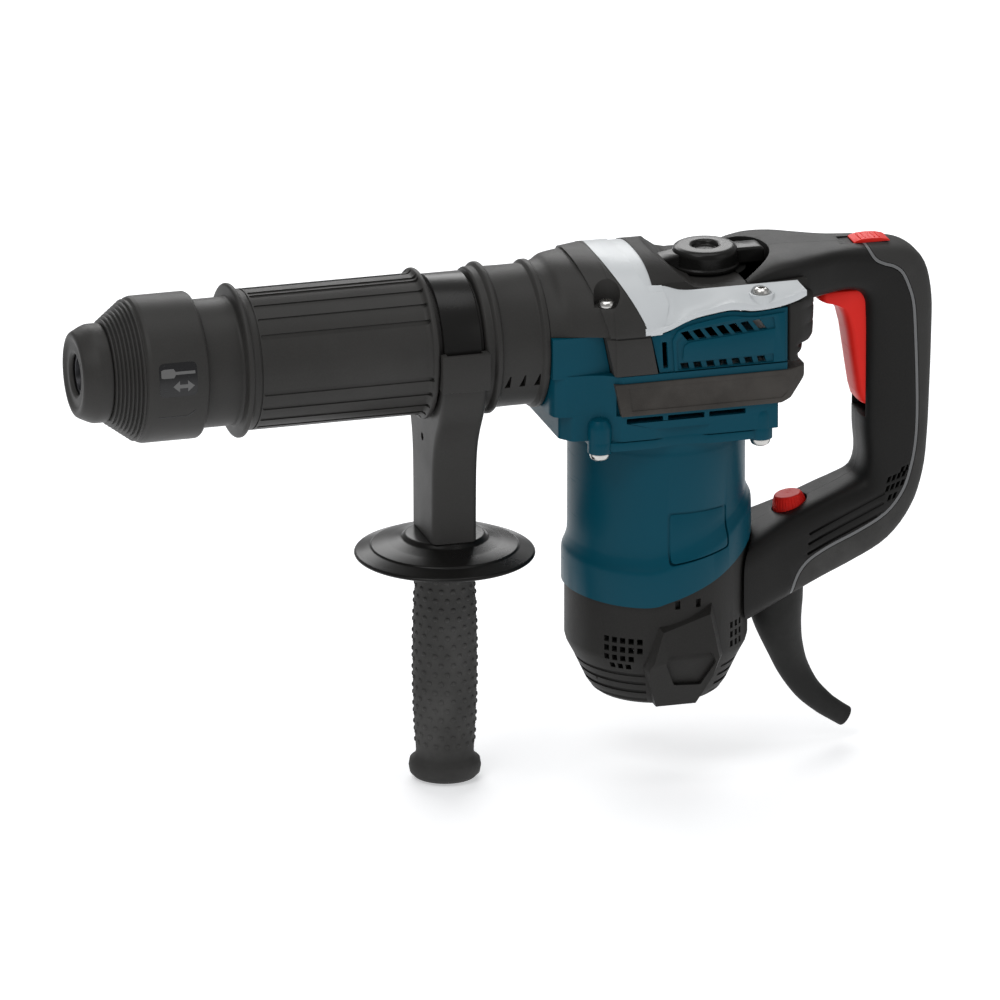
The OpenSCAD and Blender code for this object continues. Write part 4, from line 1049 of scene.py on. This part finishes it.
def side_vents():
    """The near panel and its mirror image."""
    near = side_vent_panel()
    far = mirrored(near)
    finished(near, "blue_plastic", "side_vent_left")
    finished(far, "blue_plastic", "side_vent_right")


def bumper_belt():
    """Black belt round the flanks and the back of the head."""
    ring = [(276, -51), (372, -51), (383, -44.5), (383, 44.5), (372, 51), (276, 51), (276, 46.8),
            (372.2, 46.8), (372.2, -46.8), (276, -46.8)]
    band = plan("belt", rounded(ring, 3.0, 4), -33.9, -16.1)
    side = [(277.0, -16.0), (280.6, -33.8), (368.0, -33.8), (373.5, -31.5), (383.4, -21.0), (383.4, -16.0)]
    cut(band, slab("side", side, -60, 60), "INTERSECT")
    # a shallow field with a raised rim along both flanks
    field = [(284.6, -18.4), (286.2, -31.2), (368.6, -31.2), (377, -22.6), (377, -18.4)]
    cut(band, both_sides(slab("field", field, -60, -50.5)))
    finished(bevelled(band, 0.7, 3, 30), "warm_black", "bumper_belt", angle=40)


# ---------------------------------------------------------------- motor
# the seam between housing and cap, which rises towards the back, and its lowest level
SEAM_LEVEL = -143.0
SEAM = [(255, -141.0), (280, -142.8), (298, -142.8), (307, -140.2), (320, -135.9), (333, -131.0),
        (343.5, -125.9), (355, -119.6), (368, -112.0)]


def seam_lift(x):
    """How far the seam of the cap has risen at a place along the hammer."""
    for (x0, z0), (x1, z1) in zip(SEAM, SEAM[1:]):
        if x <= x1:
            return z0 + (z1 - z0) * max(0.0, (x - x0) / (x1 - x0)) - SEAM_LEVEL
    return SEAM[-1][1] - SEAM_LEVEL


def motor_region(name, above, gap=0.0):
    """Everything above or below the seam."""
    run = through(SEAM, 4)
    level = -40.0 if above else -230.0
    return slab(name, [(x, z + gap) for x, z in run] + [(380, level), (240, level)], -70, 70)


def follow_seam(body):
    """Lifts the swell above the seam with it, from nothing under the flange."""
    for vert in body.data.vertices:
        x, z = vert.co.x / MM, vert.co.z / MM
        follow = min(1.0, max(0.0, (-60.0 - z) / 58.0))
        vert.co.z += seam_lift(x) * follow * MM * (1.0 if z > -140 else 0.0)


def motor_flange():
    """Rounded plate under the gear housing, drawn in between its lugs."""
    edge = rounded([(-47.6, -40), (-40, -49.4), (40, -49.4), (49, -42), (49, 42), (40, 49.4), (-40, 49.4),
                    (-47.6, 40)], 5.0, 5)
    flange = plan("flange", edge, -53.2, -48.7)
    # thin shadow gap under the gear housing
    fused(flange, plan("gap", [(x * 0.975, y * 0.975) for x, y in edge], -49.0, -48.0))
    flange.data.transform(Matrix.Translation((MOTOR_X * MM, 0, 0)))
    cut(flange, both_sides(flank_hollow(-40)))
    return cut(flange, rod("bore", (MOTOR_X, 0, -60), (MOTOR_X, 0, -40), 45.0, 96))


def label_frame():
    """Cutter for the fine frame of a blank label seat on each rear flank."""
    edge = rounded([(-17.6, -120.4), (17.6, -114.4), (17.6, -91.4), (-17.6, -91.0)], 2.2, 4)
    rim = slab("label_frame", edge, -60, -30)
    cut(rim, slab("inside", [(x * 0.93, -105.0 + (z + 105.0) * 0.92) for x, z in edge], -70, -20))
    rim.data.transform(Matrix.Translation((MOTOR_X * MM, 0, 0)))
    turned(rim, 13, "Z", (MOTOR_X, 0, 0))
    return both_sides(cut(rim, rod("core", (MOTOR_X, 0, -150), (MOTOR_X, 0, -60), 46.5, 128)))


def motor_housing():
    """Blue barrel of the motor, with its flange and lugs."""
    profile = [(43.5, -48.0), (46.7, -48.0), (46.7, -58.0), (47.0, -60.0), (47.0, -112.0), (47.3, -117.0),
               (48.6, -121.4), (50.0, -124.4), (50.2, -127.0), (50.2, -150.0), (43.5, -150.0)]
    body = lathe("motor_shell", rounded(profile, 1.4, 3), "Z", (MOTOR_X, 0, 0), 128)
    follow_seam(body)
    cut(body, motor_region("above", True), "INTERSECT")
    lugs = [rod("lug", (x, y, -54.2), (x, y, -48), 6.4, 40) for x, y in flange_screw_places()]
    fused(body, motor_flange(), *lugs)
    cut(body, rod("bore", (MOTOR_X, 0, -160), (MOTOR_X, 0, -40), 43.5, 120))
    cut(body, flange_screw_holes(-40))
    cut(body, label_frame())
    finished(bevelled(body, 0.6, 2, 34), "blue_plastic", "motor_housing", angle=40)


# outlines of the wear pad and its well, from the motor's axis
PAD = [(-10.5, -203), (-19.5, -177.2), (-12.7, -153.3), (17.2, -143.8), (23.2, -172.5), (10.5, -203)]
PAD_WELL = [(-7.5, -169.5), (15.8, -169.4), (18.6, -175.2), (11.8, -189.6), (-2.9, -188.5), (-9.2, -174.1)]


def flat_then_sloping(name, face, deep):
    """Everything between a deep plane and a face that is upright above and slopes in below."""
    side = [(deep, -135), (face, -135), (face, -173.0), (face + 13.4, -201.8), (deep, -201.8)]
    return lofted(name, [[(MOTOR_X + x, y, z) for y, z in side] for x in (-40, 40)])


def wear_pad():
    """Flat-faced hexagonal pad with sloping edges and a shallow well."""
    middle = Vector((1.5, -174.0))
    small = [tuple(middle + (Vector(p) - middle) * 0.86) for p in PAD]
    rings = []
    for y, outline in ((-30, PAD), (-45.6, PAD), (-50.8, small)):
        rings.append([(MOTOR_X + x, y, z) for x, z in outline])
    pad = cut(lofted("pad", rings), flat_then_sloping("pad_face", -50.8, -20), "INTERSECT")
    well = slab("well", [(MOTOR_X + x, z) for x, z in rounded(PAD_WELL, 1.0, 2)], -60, -34)
    cut(well, flat_then_sloping("well_floor", -48.3, -20))
    return cut(pad, well)


def motor_cap():
    """Black cap under the motor, with louvres, windows and a wear pad on each flank."""
    outside = [(48.5, -108), (48.5, -172), (47.6, -175.4), (44.4, -181.4), (37.6, -196), (34.6, -200.4),
               (32.4, -202)]
    body = lathe("cap_shell", [(0, -108)] + outside + [(0, -202)], "Z", (MOTOR_X, 0, 0), 128)
    cut(body, motor_region("below", False, -0.35), "INTERSECT")
    # louvres round the taper, ahead of the pad and behind it
    louvre = lathe("louvre", [(50, -180.6), (42.6, -182.6), (42.6, -184.0), (50, -184.0)], "Z",
                   (MOTOR_X, 0, 0), 96)
    louvres = [shifted(copy_of(louvre), (0, 0, -5.4 * k), 1 - 0.062 * k) for k in range(4)]
    bpy.data.objects.remove(louvre)
    wedges = joined("wedges", wedge(114, 246), wedge(306, 336))
    cut(body, both_sides(cut(joined("louvres", *louvres), wedges, "INTERSECT")))
    fused(body, both_sides(wear_pad()))
    inner = lathe("cap_room", [(0, -100), (45, -100), (45, -171.6), (44.2, -173.6), (41, -179.6),
                               (31.6, -198.4), (0, -198.4)], "Z", (MOTOR_X, 0, 0), 96)
    cut(body, inner)
    post = lathe("bearing_post", [(13.05, -199), (17, -199), (17, -182), (13.05, -182)], "Z",
                 (MOTOR_X, 0, 0), 48)
    fused(body, post)
    # grid of small windows ahead of the pad, each row shorter than the one above
    grid = []
    for row, count in enumerate((5, 5, 4, 3)):
        z = -164.4 - 5.0 * row
        window = block("window", (MOTOR_X - 60, MOTOR_X - 38), (-1.5, 1.5), (z, z + 3.2))
        grid.append(ring_windows(window, 41.1 + 3.0 * (row == 3), 5.6, count))
    cut(body, both_sides(joined("grid", *grid)))
    # two small slots over the pad and windows behind it
    notch = block("notch", (MOTOR_X + 45.6, MOTOR_X + 60), (-1.4, 1.4), (-144.6, -140.0))
    cut(body, ring_windows(notch, -92.7, 13.7, 2))
    fin = block("fin", (MOTOR_X + 30, MOTOR_X + 60), (-1.2, 1.2), (-161.7, -158.3))
    fins = [ring_windows(shifted(copy_of(fin), (0, 0, -5.2 * row)), -51, 5.2, 3) for row in range(3)]
    bpy.data.objects.remove(fin)
    cut(body, both_sides(joined("fins", *fins)))
    finished(bevelled(body, 0.5, 2, 36), "black_plastic", "motor_cap", angle=40)


def wedge(first, last):
    """A sector about the motor's axis between two angles."""
    arc = [math.radians(first + (last - first) * k / 12) for k in range(13)]
    return plan("wedge", [(MOTOR_X, 0)] + [(MOTOR_X + 70 * math.cos(a), 70 * math.sin(a)) for a in arc],
                -210, -150)


def ring_windows(window, first, step, count):
    """A cutter repeated about the motor's axis."""
    window.data.transform(Matrix.Translation((-MOTOR_X * MM, 0, 0)))
    return repeated("ring_cutters", window, columns=count, start=(MOTOR_X, 0, 0), turn=(0, 0, first),
                    column_turn=(0, 0, step))


def shifted(obj, move, scale=1.0):
    """Moved by millimetres, and drawn in about the motor's axis."""
    centre = Matrix.Translation((MOTOR_X * MM, 0, 0))
    shrink = centre @ Matrix.Diagonal((scale, scale, 1, 1)) @ centre.inverted()
    obj.data.transform(Matrix.Translation([c * MM for c in move]) @ shrink)
    return obj


def flange_screws():
    """Four screws up through the motor's flange."""
    screw = pan_head("flange_screw", 5.4, 4.0, 11, 2.0)
    turned(screw, 180, "X", (0, 0, 0))
    screws = at_flange_screws("flange_screw_set", screw, (FLANGE_SCREW_X, FLANGE_SCREW_Y, -54.3))
    finished(screws, "zinc", "flange_screws")


# ---------------------------------------------------------------- stage
def camera_and_lights():
    """A long lens on the near front flank under four soft lights."""
    target = Vector((0.229, 0.0, -0.0915))
    forward = Vector((0.2637, 0.9075, -0.327)).normalized()
    right = Vector((0.9603, -0.279, 0.0)).normalized()
    up = right.cross(forward)
    distance = 12.0
    turn = Matrix((right, up, -forward)).transposed().to_4x4()
    data = bpy.data.cameras.new("camera")
    data.lens = 820.0
    data.sensor_width = 36.0
    data.clip_end = 40.0
    eye = bpy.data.objects.new("camera", data)
    eye.matrix_world = Matrix.Translation(target - forward * distance) @ turn
    bpy.context.scene.collection.objects.link(eye)
    bpy.context.scene.camera = eye

    def soft_light(name, place, size, power, tint=(1.0, 1.0, 1.0)):
        lamp = bpy.data.lights.new(name, "AREA")
        lamp.shape = "RECTANGLE"
        lamp.size, lamp.size_y = size
        lamp.energy = power
        lamp.color = tint
        holder = bpy.data.objects.new(name, lamp)
        holder.location = place
        holder.rotation_euler = (target - Vector(place)).to_track_quat("-Z", "Y").to_euler()
        bpy.context.scene.collection.objects.link(holder)

    soft_light("key_light", (-0.9, -1.1, 1.9), (1.1, 1.1), 15.0)
    soft_light("fill_light", (1.5, -1.2, 0.7), (1.2, 1.0), 2.2, (0.99, 0.99, 1.0))
    soft_light("top_light", (0.25, 0.1, 1.7), (1.6, 0.9), 10.0)
    soft_light("rim_light", (0.5, 1.6, 0.8), (1.4, 0.7), 12.0)

    world = bpy.data.worlds.new("studio")
    world.use_nodes = True
    world.node_tree.nodes["Background"].inputs["Color"].default_value = (0.96, 0.96, 0.96, 1.0)
    world.node_tree.nodes["Background"].inputs["Strength"].default_value = 0.33
    bpy.context.scene.world = world
    bpy.context.scene.view_settings.view_transform = "Standard"


def studio_floor():
    """Pale floor just under the object."""
    bm = bmesh.new()
    bmesh.ops.create_grid(bm, x_segments=1, y_segments=1, size=6.0)
    bmesh.ops.translate(bm, verts=bm.verts, vec=(0.23, 0.0, cad_box[0][2] - 0.001))
    floor = from_bmesh("studio_floor", bm)
    s = Shader("pale_floor")
    tone = s.blend(s.noise(6.0, 3.0), (0.86, 0.87, 0.88), (0.90, 0.90, 0.91))
    s.feed(s.bsdf.inputs["Emission Color"], tone)
    s.finish(tone, s.noise(40.0, 3.0) * 0.1 + 0.55, emission_strength=0.5)
    floor.data.materials.append(s.material)


# ---------------------------------------------------------------- rear handle
# outer point, inner point and half width of the handle along its run from the head to the motor
HANDLE_RUN = [(354, 29.6, 354, 26.0, 35.6), (362, 33.6, 362, 22.0, 35.6), (372, 36.4, 372, 17.0, 34.6),
              (384, 36.9, 386, 12.6, 32.4), (396, 36.3, 398, 12.2, 26.6), (409, 35.6, 408, 12.0, 20.8),
              (423, 35.2, 415.6, 11.6, 19.0), (438, 34.4, 421.4, 9.4, 19.0), (451, 31.4, 424.2, 4.4, 19.0),
              (460, 22.4, 424.5, -4.0, 19.0), (463.8, 5.0, 424.5, -14.0, 19.0),
              (463.8, -18, 424.5, -28, 19.0), (463, -45, 424.5, -48, 19.0), (461.8, -72, 424.5, -68, 19.0),
              (459.4, -93, 425.6, -83, 19.0), (452.6, -113, 423.0, -92.4, 19.0),
              (439, -129, 415.0, -97.2, 19.0), (420, -139, 403.0, -102.2, 19.2),
              (402, -146.6, 389.0, -107.8, 20.4), (384, -154, 376.0, -113.0, 23.6),
              (366, -161, 364.0, -118.0, 28.6), (350, -167, 350.0, -123.6, 32.6)]
# front edge of the soft grip from the top to the foot
SOFT_EDGE = [(427.0, 40), (427.4, 36.4), (428.4, 32.8), (430.8, 29.4), (435.0, 27.2), (440.4, 25.2),
             (445.4, 20.8), (449.4, 11.4), (451.6, 2), (452.6, -14), (453.6, -40), (453.8, -60),
             (453.0, -74), (450.7, -87), (446, -101), (436.4, -113), (421, -121.8), (404, -129),
             (391.6, -136.0), (385.4, -145), (383, -158)]


def handle_form(name, trim=0.0):
    """The handle as one rounded bar swept round the hand opening."""
    rings = []
    for ox, oz, ix, iz, half in through(HANDLE_RUN, 4):
        # the arms are boxier than the hand grip
        arm = min(1.0, max(0.0, (423 - ix) / 16))
        power = 3.2 + 1.8 * arm
        outer, inner = Vector((ox, oz)), Vector((ix, iz))
        centre, reach = (outer + inner) / 2, (outer - inner) / 2
        reach = reach * max(0.05, 1 - trim / reach.length)
        ring = []
        for k in range(48):
            t = math.tau * k / 48
            c = math.copysign(abs(math.cos(t)) ** (2 / power), math.cos(t))
            s = math.copysign(abs(math.sin(t)) ** (2 / power), math.sin(t))
            ring.append((centre.x + reach.x * c, (half - trim) * s, centre.y + reach.y * c))
        rings.append(ring)
    return lofted(name, rings)


def beside(points, off):
    """A copy of a run of points moved sideways by a distance."""
    result = []
    for i, p in enumerate(points):
        a, b = Vector(points[max(i - 1, 0)]), Vector(points[min(i + 1, len(points) - 1)])
        along = (b - a).normalized()
        result.append((p[0] - along.y * off, p[1] + along.x * off))
    return result


def soft_region(name, off):
    """Everything behind the edge of the soft grip, the edge moved forward by off."""
    run = beside(through(SOFT_EDGE, 4), -off)
    return slab(name, run + [(384, -180), (480, -180), (480, 45), (430, 45)], -50, 50)


DIAL_X, DIAL_Z, DIAL_TILT = 388.0, -108.2, 10.0


def dial_placed(obj):
    """From the dial's own axis to its place on the lower arm."""
    tilt = Matrix.Rotation(math.radians(-DIAL_TILT), 4, "Y")
    obj.data.transform(Matrix.Translation((DIAL_X * MM, 0, DIAL_Z * MM)) @ tilt)
    return obj


def handle_rooms(form):
    """Openings for the trigger, slider, dial, knob well and motor."""
    cut(form, block("trigger_room", (390, 440), (-12.35, 12.35), (-60, 12.1)))
    cut(form, block("trigger_top", (394, 412), (-12.35, 12.35), (-10, 15.6)))
    slider_room(form)
    cut(form, dial_placed(rod("dial_room", (0, 0, -3.8), (0, 0, 14), 9.9, 64)))
    cut(form, dial_placed(rod("dial_bore", (0, 0, -20), (0, 0, 5), 3.5, 24)))
    cut(form, rod("motor_room", (MOTOR_X, 0, -220), (MOTOR_X, 0, -80), 50.35, 128))
    cut(form, rod("knob_well", (KNOB_X, 0, 28.4), (KNOB_X, 0, 60), 34.0, 96))
    cut(form, block("under_cover", (340, 386.2), (-60, 60), (0, 27.9)))
    cut(form, rod("cord_room", (385, 0, -190), (385, 0, -120), 5.2, 24))
    return form


def flank_details(form):
    """Arm grooves and corner vents, on both flanks."""
    groove = slab("groove", rounded([(-23, -0.8), (23, -0.8), (23, 0.8), (-23, 0.8)], 0.8, 3), -24, -18.2)
    turned(groove, -24.0, "Y", (0, 0, 0))
    grooves = repeated("grooves", groove, columns=3, start=(414, 0, -110.6), column_step=(-0.6, 0, -5.4))
    cut(form, both_sides(grooves))
    vents = []
    for row, (x, count) in enumerate(((443.2, 3), (435.8, 6), (435.0, 5), (436.2, 2))):
        vent = slab("vent", [(x, -91.0 - 5.0 * row), (x + 1.9, -90.3 - 5.0 * row),
                             (x + 3.1, -86.9 - 5.0 * row), (x + 1.2, -87.6 - 5.0 * row)], -24, -14)
        vents.append(repeated("corner_vents", vent, columns=count, column_step=(2.75, 0, 0.9)))
    cut(form, both_sides(joined("vent_set", *vents)))
    return form


def handle_halves():
    """The hard handle, split down the middle plane."""
    hard = handle_rooms(handle_form("hard_handle"))
    cut(hard, soft_region("soft_area", 2.1))
    flank_details(hard)
    bevelled(hard, 0.5, 2, 38)
    for side, node in ((-1, "handle_left"), (1, "handle_right")):
        half = halved(hard, 0.07 * side, side)
        # both halves take the darker black with painted shade
        finished(half, "black_plastic", node, material=handle_black, angle=40)
    bpy.data.objects.remove(hard)


def slider_room(form):
    """Slot for the slider's stem under a shallow bed for its cap."""
    cut(form, block("slider_slot", (422.0, 436.3), (-4.3, 4.3), (22, 50)))
    bed = rounded([(415.0, 34.65), (441.8, 34.65), (441.8, 60), (415.0, 60)], 0.4)
    return cut(form, slab("slider_bed", bed, -6.4, 6.4))


def soft_grip():
    """Rubber back of the handle and the pale line in front of it."""
    grip = handle_form("soft_handle")
    cut(grip, soft_region("soft_area", -0.25), "INTERSECT")
    finished(bevelled(slider_room(grip), 0.6, 3, 38), "soft_rubber", "soft_grip", angle=42)
    # pale line between the grip and the hard handle
    line = cut(handle_form("grip_line", 0.15), soft_region("line_front", 1.7), "INTERSECT")
    cut(line, soft_region("line_back", 0.1))
    finished(slider_room(line), "soft_rubber", body="housing", material=handle_line)


# outline of the trigger from its top rear corner round the front to its foot
TRIGGER_BACK = 433.8
TRIGGER = [(TRIGGER_BACK, 2.0), (433.0, 6.6), (430.4, 9.9), (426.6, 11.3), (420, 11.7), (404, 11.7),
           (401.2, 11.2), (400.4, 8.6), (401.2, 6.0), (404.4, 5.2), (408.8, 3.6), (412.2, 0.6),
           (414.6, -4.0), (416.6, -12), (418.4, -24), (420.2, -36), (421.8, -46), (423.4, -51.8),
           (425.4, -53.6), (430.8, -53.2), (433.4, -51.4), (TRIGGER_BACK, -49)]


def trigger():
    """Lever with rounded flanks, hollow behind the finger face."""
    rings = []
    for y in (-12.0, -11.7, -10.8, -9.4, -7.6, -5.0, 5.0, 7.6, 9.4, 10.8, 11.7, 12.0):
        off = max(0.0, abs(y) - 5.0) / 7.0
        inset = 4.4 * (1 - math.sqrt(1 - off * off))
        rings.append([
            (min(TRIGGER_BACK, x + inset * (x < 426)), y, z - inset * 0.3 * (z > 3)) for x, z in TRIGGER])
    lever = lofted("trigger_lever", rings)
    cut(lever, rod("pin_hole", (430, -20, 2), (430, 20, 2), 2.08, 32))
    hollow = [(425.4, -10), (428, -4), (437, -4), (437, -60), (430.4, -60)]
    cut(lever, slab("hollow", hollow, -8, 8))
    finished(bevelled(lever, 0.5, 2, 40), "red_plastic", "trigger", angle=36)


def lock_slider():
    """Domed cap with cross ridges on a stem."""
    dome = [(421.4, 34.75), (421.4, 35.4), (422.6, 36.2), (426, 36.9), (431, 37.1), (436, 36.7),
            (439.8, 35.8), (441.1, 35.1), (441.1, 34.75)]
    cap = bevelled(slab("slider_cap", dome, -6.1, 6.1), 0.9, 4, 50)
    ridge = slab("ridge", rounded([(425.0, 36.2), (425.7, 36.2), (425.7, 37.3), (425.0, 37.3)], 0.3, 2),
                 -4.2, 4.2)
    fused(cap, block("stem", (428.4, 435.7), (-4, 4), (24, 35.0)),
          repeated("ridges", ridge, columns=5, column_step=(2.6, 0, 0)))
    finished(cap, "red_plastic", "lock_slider")


def speed_dial():
    """Smooth crown over a fluted, spreading skirt."""
    profile = [(0, -3.4), (9.0, -3.4), (9.2, -2.6), (9.2, -0.6), (8.4, 2.8), (7.4, 5.0), (6.6, 5.6),
               (0, 5.4)]
    wheel = lathe("dial_wheel", rounded(profile, 0.5, 3), "Z", steps=96)
    flute = rod("flute", (9.6, 0, -1.5), (7.3, 0, 6.2), 0.55, 12)
    cut(wheel, repeated("flutes", flute, columns=30, column_turn=(0, 0, 12)))
    fused(wheel, rod("spindle", (0, 0, -10), (0, 0, -3), 3.0, 32))
    finished(dial_placed(wheel), "red_plastic", "speed_dial")


def selector_knob():
    """Cup with a long wing and a short one."""
    ring = [(0, 20), (8.0, 20), (8.0, 28.3), (17.6, 28.3), (18.2, 29.0), (18.2, 30.4), (17.4, 31.0),
            (17.4, 37.0), (16.6, 39.2), (14.4, 40.2), (8.4, 40.4), (7.0, 39.6), (6.4, 37.6), (0, 37.4)]
    cup = lathe("knob_cup", rounded(ring, 0.8, 3), "Z", (KNOB_X, 0, 0), 96)
    # the front wing slopes down, the rear one is a block
    front = slab("front_wing", [(KNOB_X - 31, 29.4), (KNOB_X - 30.6, 33.6), (KNOB_X - 26, 35.8),
                                (KNOB_X - 12, 38.2), (KNOB_X - 12, 29.4)], -6.4, 6.4)
    rear = slab("rear_wing", [(KNOB_X + 12, 29.4), (KNOB_X + 12, 38.4), (KNOB_X + 29, 38.2),
                              (KNOB_X + 31, 36.8), (KNOB_X + 31, 29.4)], -6.4, 6.4)
    bevelled(front, 1.2, 3, 30)
    bevelled(rear, 1.2, 3, 30)
    fused(cup, front, rear)
    finished(bevelled(cup, 0.4, 2, 34), "gloss_black", "selector_knob", angle=42)


def cord_boot():
    """Tapered boot that bends down and back, open at its foot."""
    line = [(380.2, -146, 15.2), (380.4, -160, 14.8), (381.2, -169, 13.6), (383.0, -178, 11.8),
            (385.8, -188, 9.9), (390.2, -200, 8.4), (397.6, -212.4, 7.2), (406.0, -221.2, 6.3),
            (412.6, -226.4, 5.8), (419.6, -231.2, 5.6)]
    rings = []
    run = through(line, 5)
    for i, (x, z, r) in enumerate(run):
        a, b = run[max(i - 1, 0)], run[min(i + 1, len(run) - 1)]
        along = Vector((b[0] - a[0], 0, b[1] - a[1])).normalized()
        across = along.cross(Vector((0, 1, 0)))
        rings.append([(x + across.x * r * math.cos(t), r * math.sin(t), z + across.z * r * math.cos(t))
                      for t in (math.tau * k / 40 for k in range(40))])
    boot = lofted("boot_sleeve", rings)
    cut(boot, rod("bore", (412.6, 0, -226.4), (426.6, 0, -236.0), 4.25, 32))
    cut(boot, plan("top", [(300, -60), (440, -60), (440, 60), (300, 60)], -150, -100))
    finished(bevelled(boot, 0.5, 2, 50), "dark_rubber", "cord_boot", angle=50)


# ---------------------------------------------------------------- build order
def build():
    """Dedicated pieces first, then every CAD node that none of them stands for."""
    for make in (dust_cap, locking_sleeve, sleeve_sign, front_grip_cover, rear_barrel_cover, bore_lining,
                 handle_strap, handle_bracket, guard_disc, side_grip, top_front_shell, shell_screws,
                 trim_band, trim_screws, top_cover, rear_housing, gear_housing, side_vents, bumper_belt,
                 motor_housing, motor_cap, flange_screws, handle_halves, soft_grip, trigger, lock_slider,
                 speed_dial, selector_knob, cord_boot):
        make()
    for node in NODES:
        if node not in DONE:
            softened(node)


camera_and_lights()
studio_floor()
build()
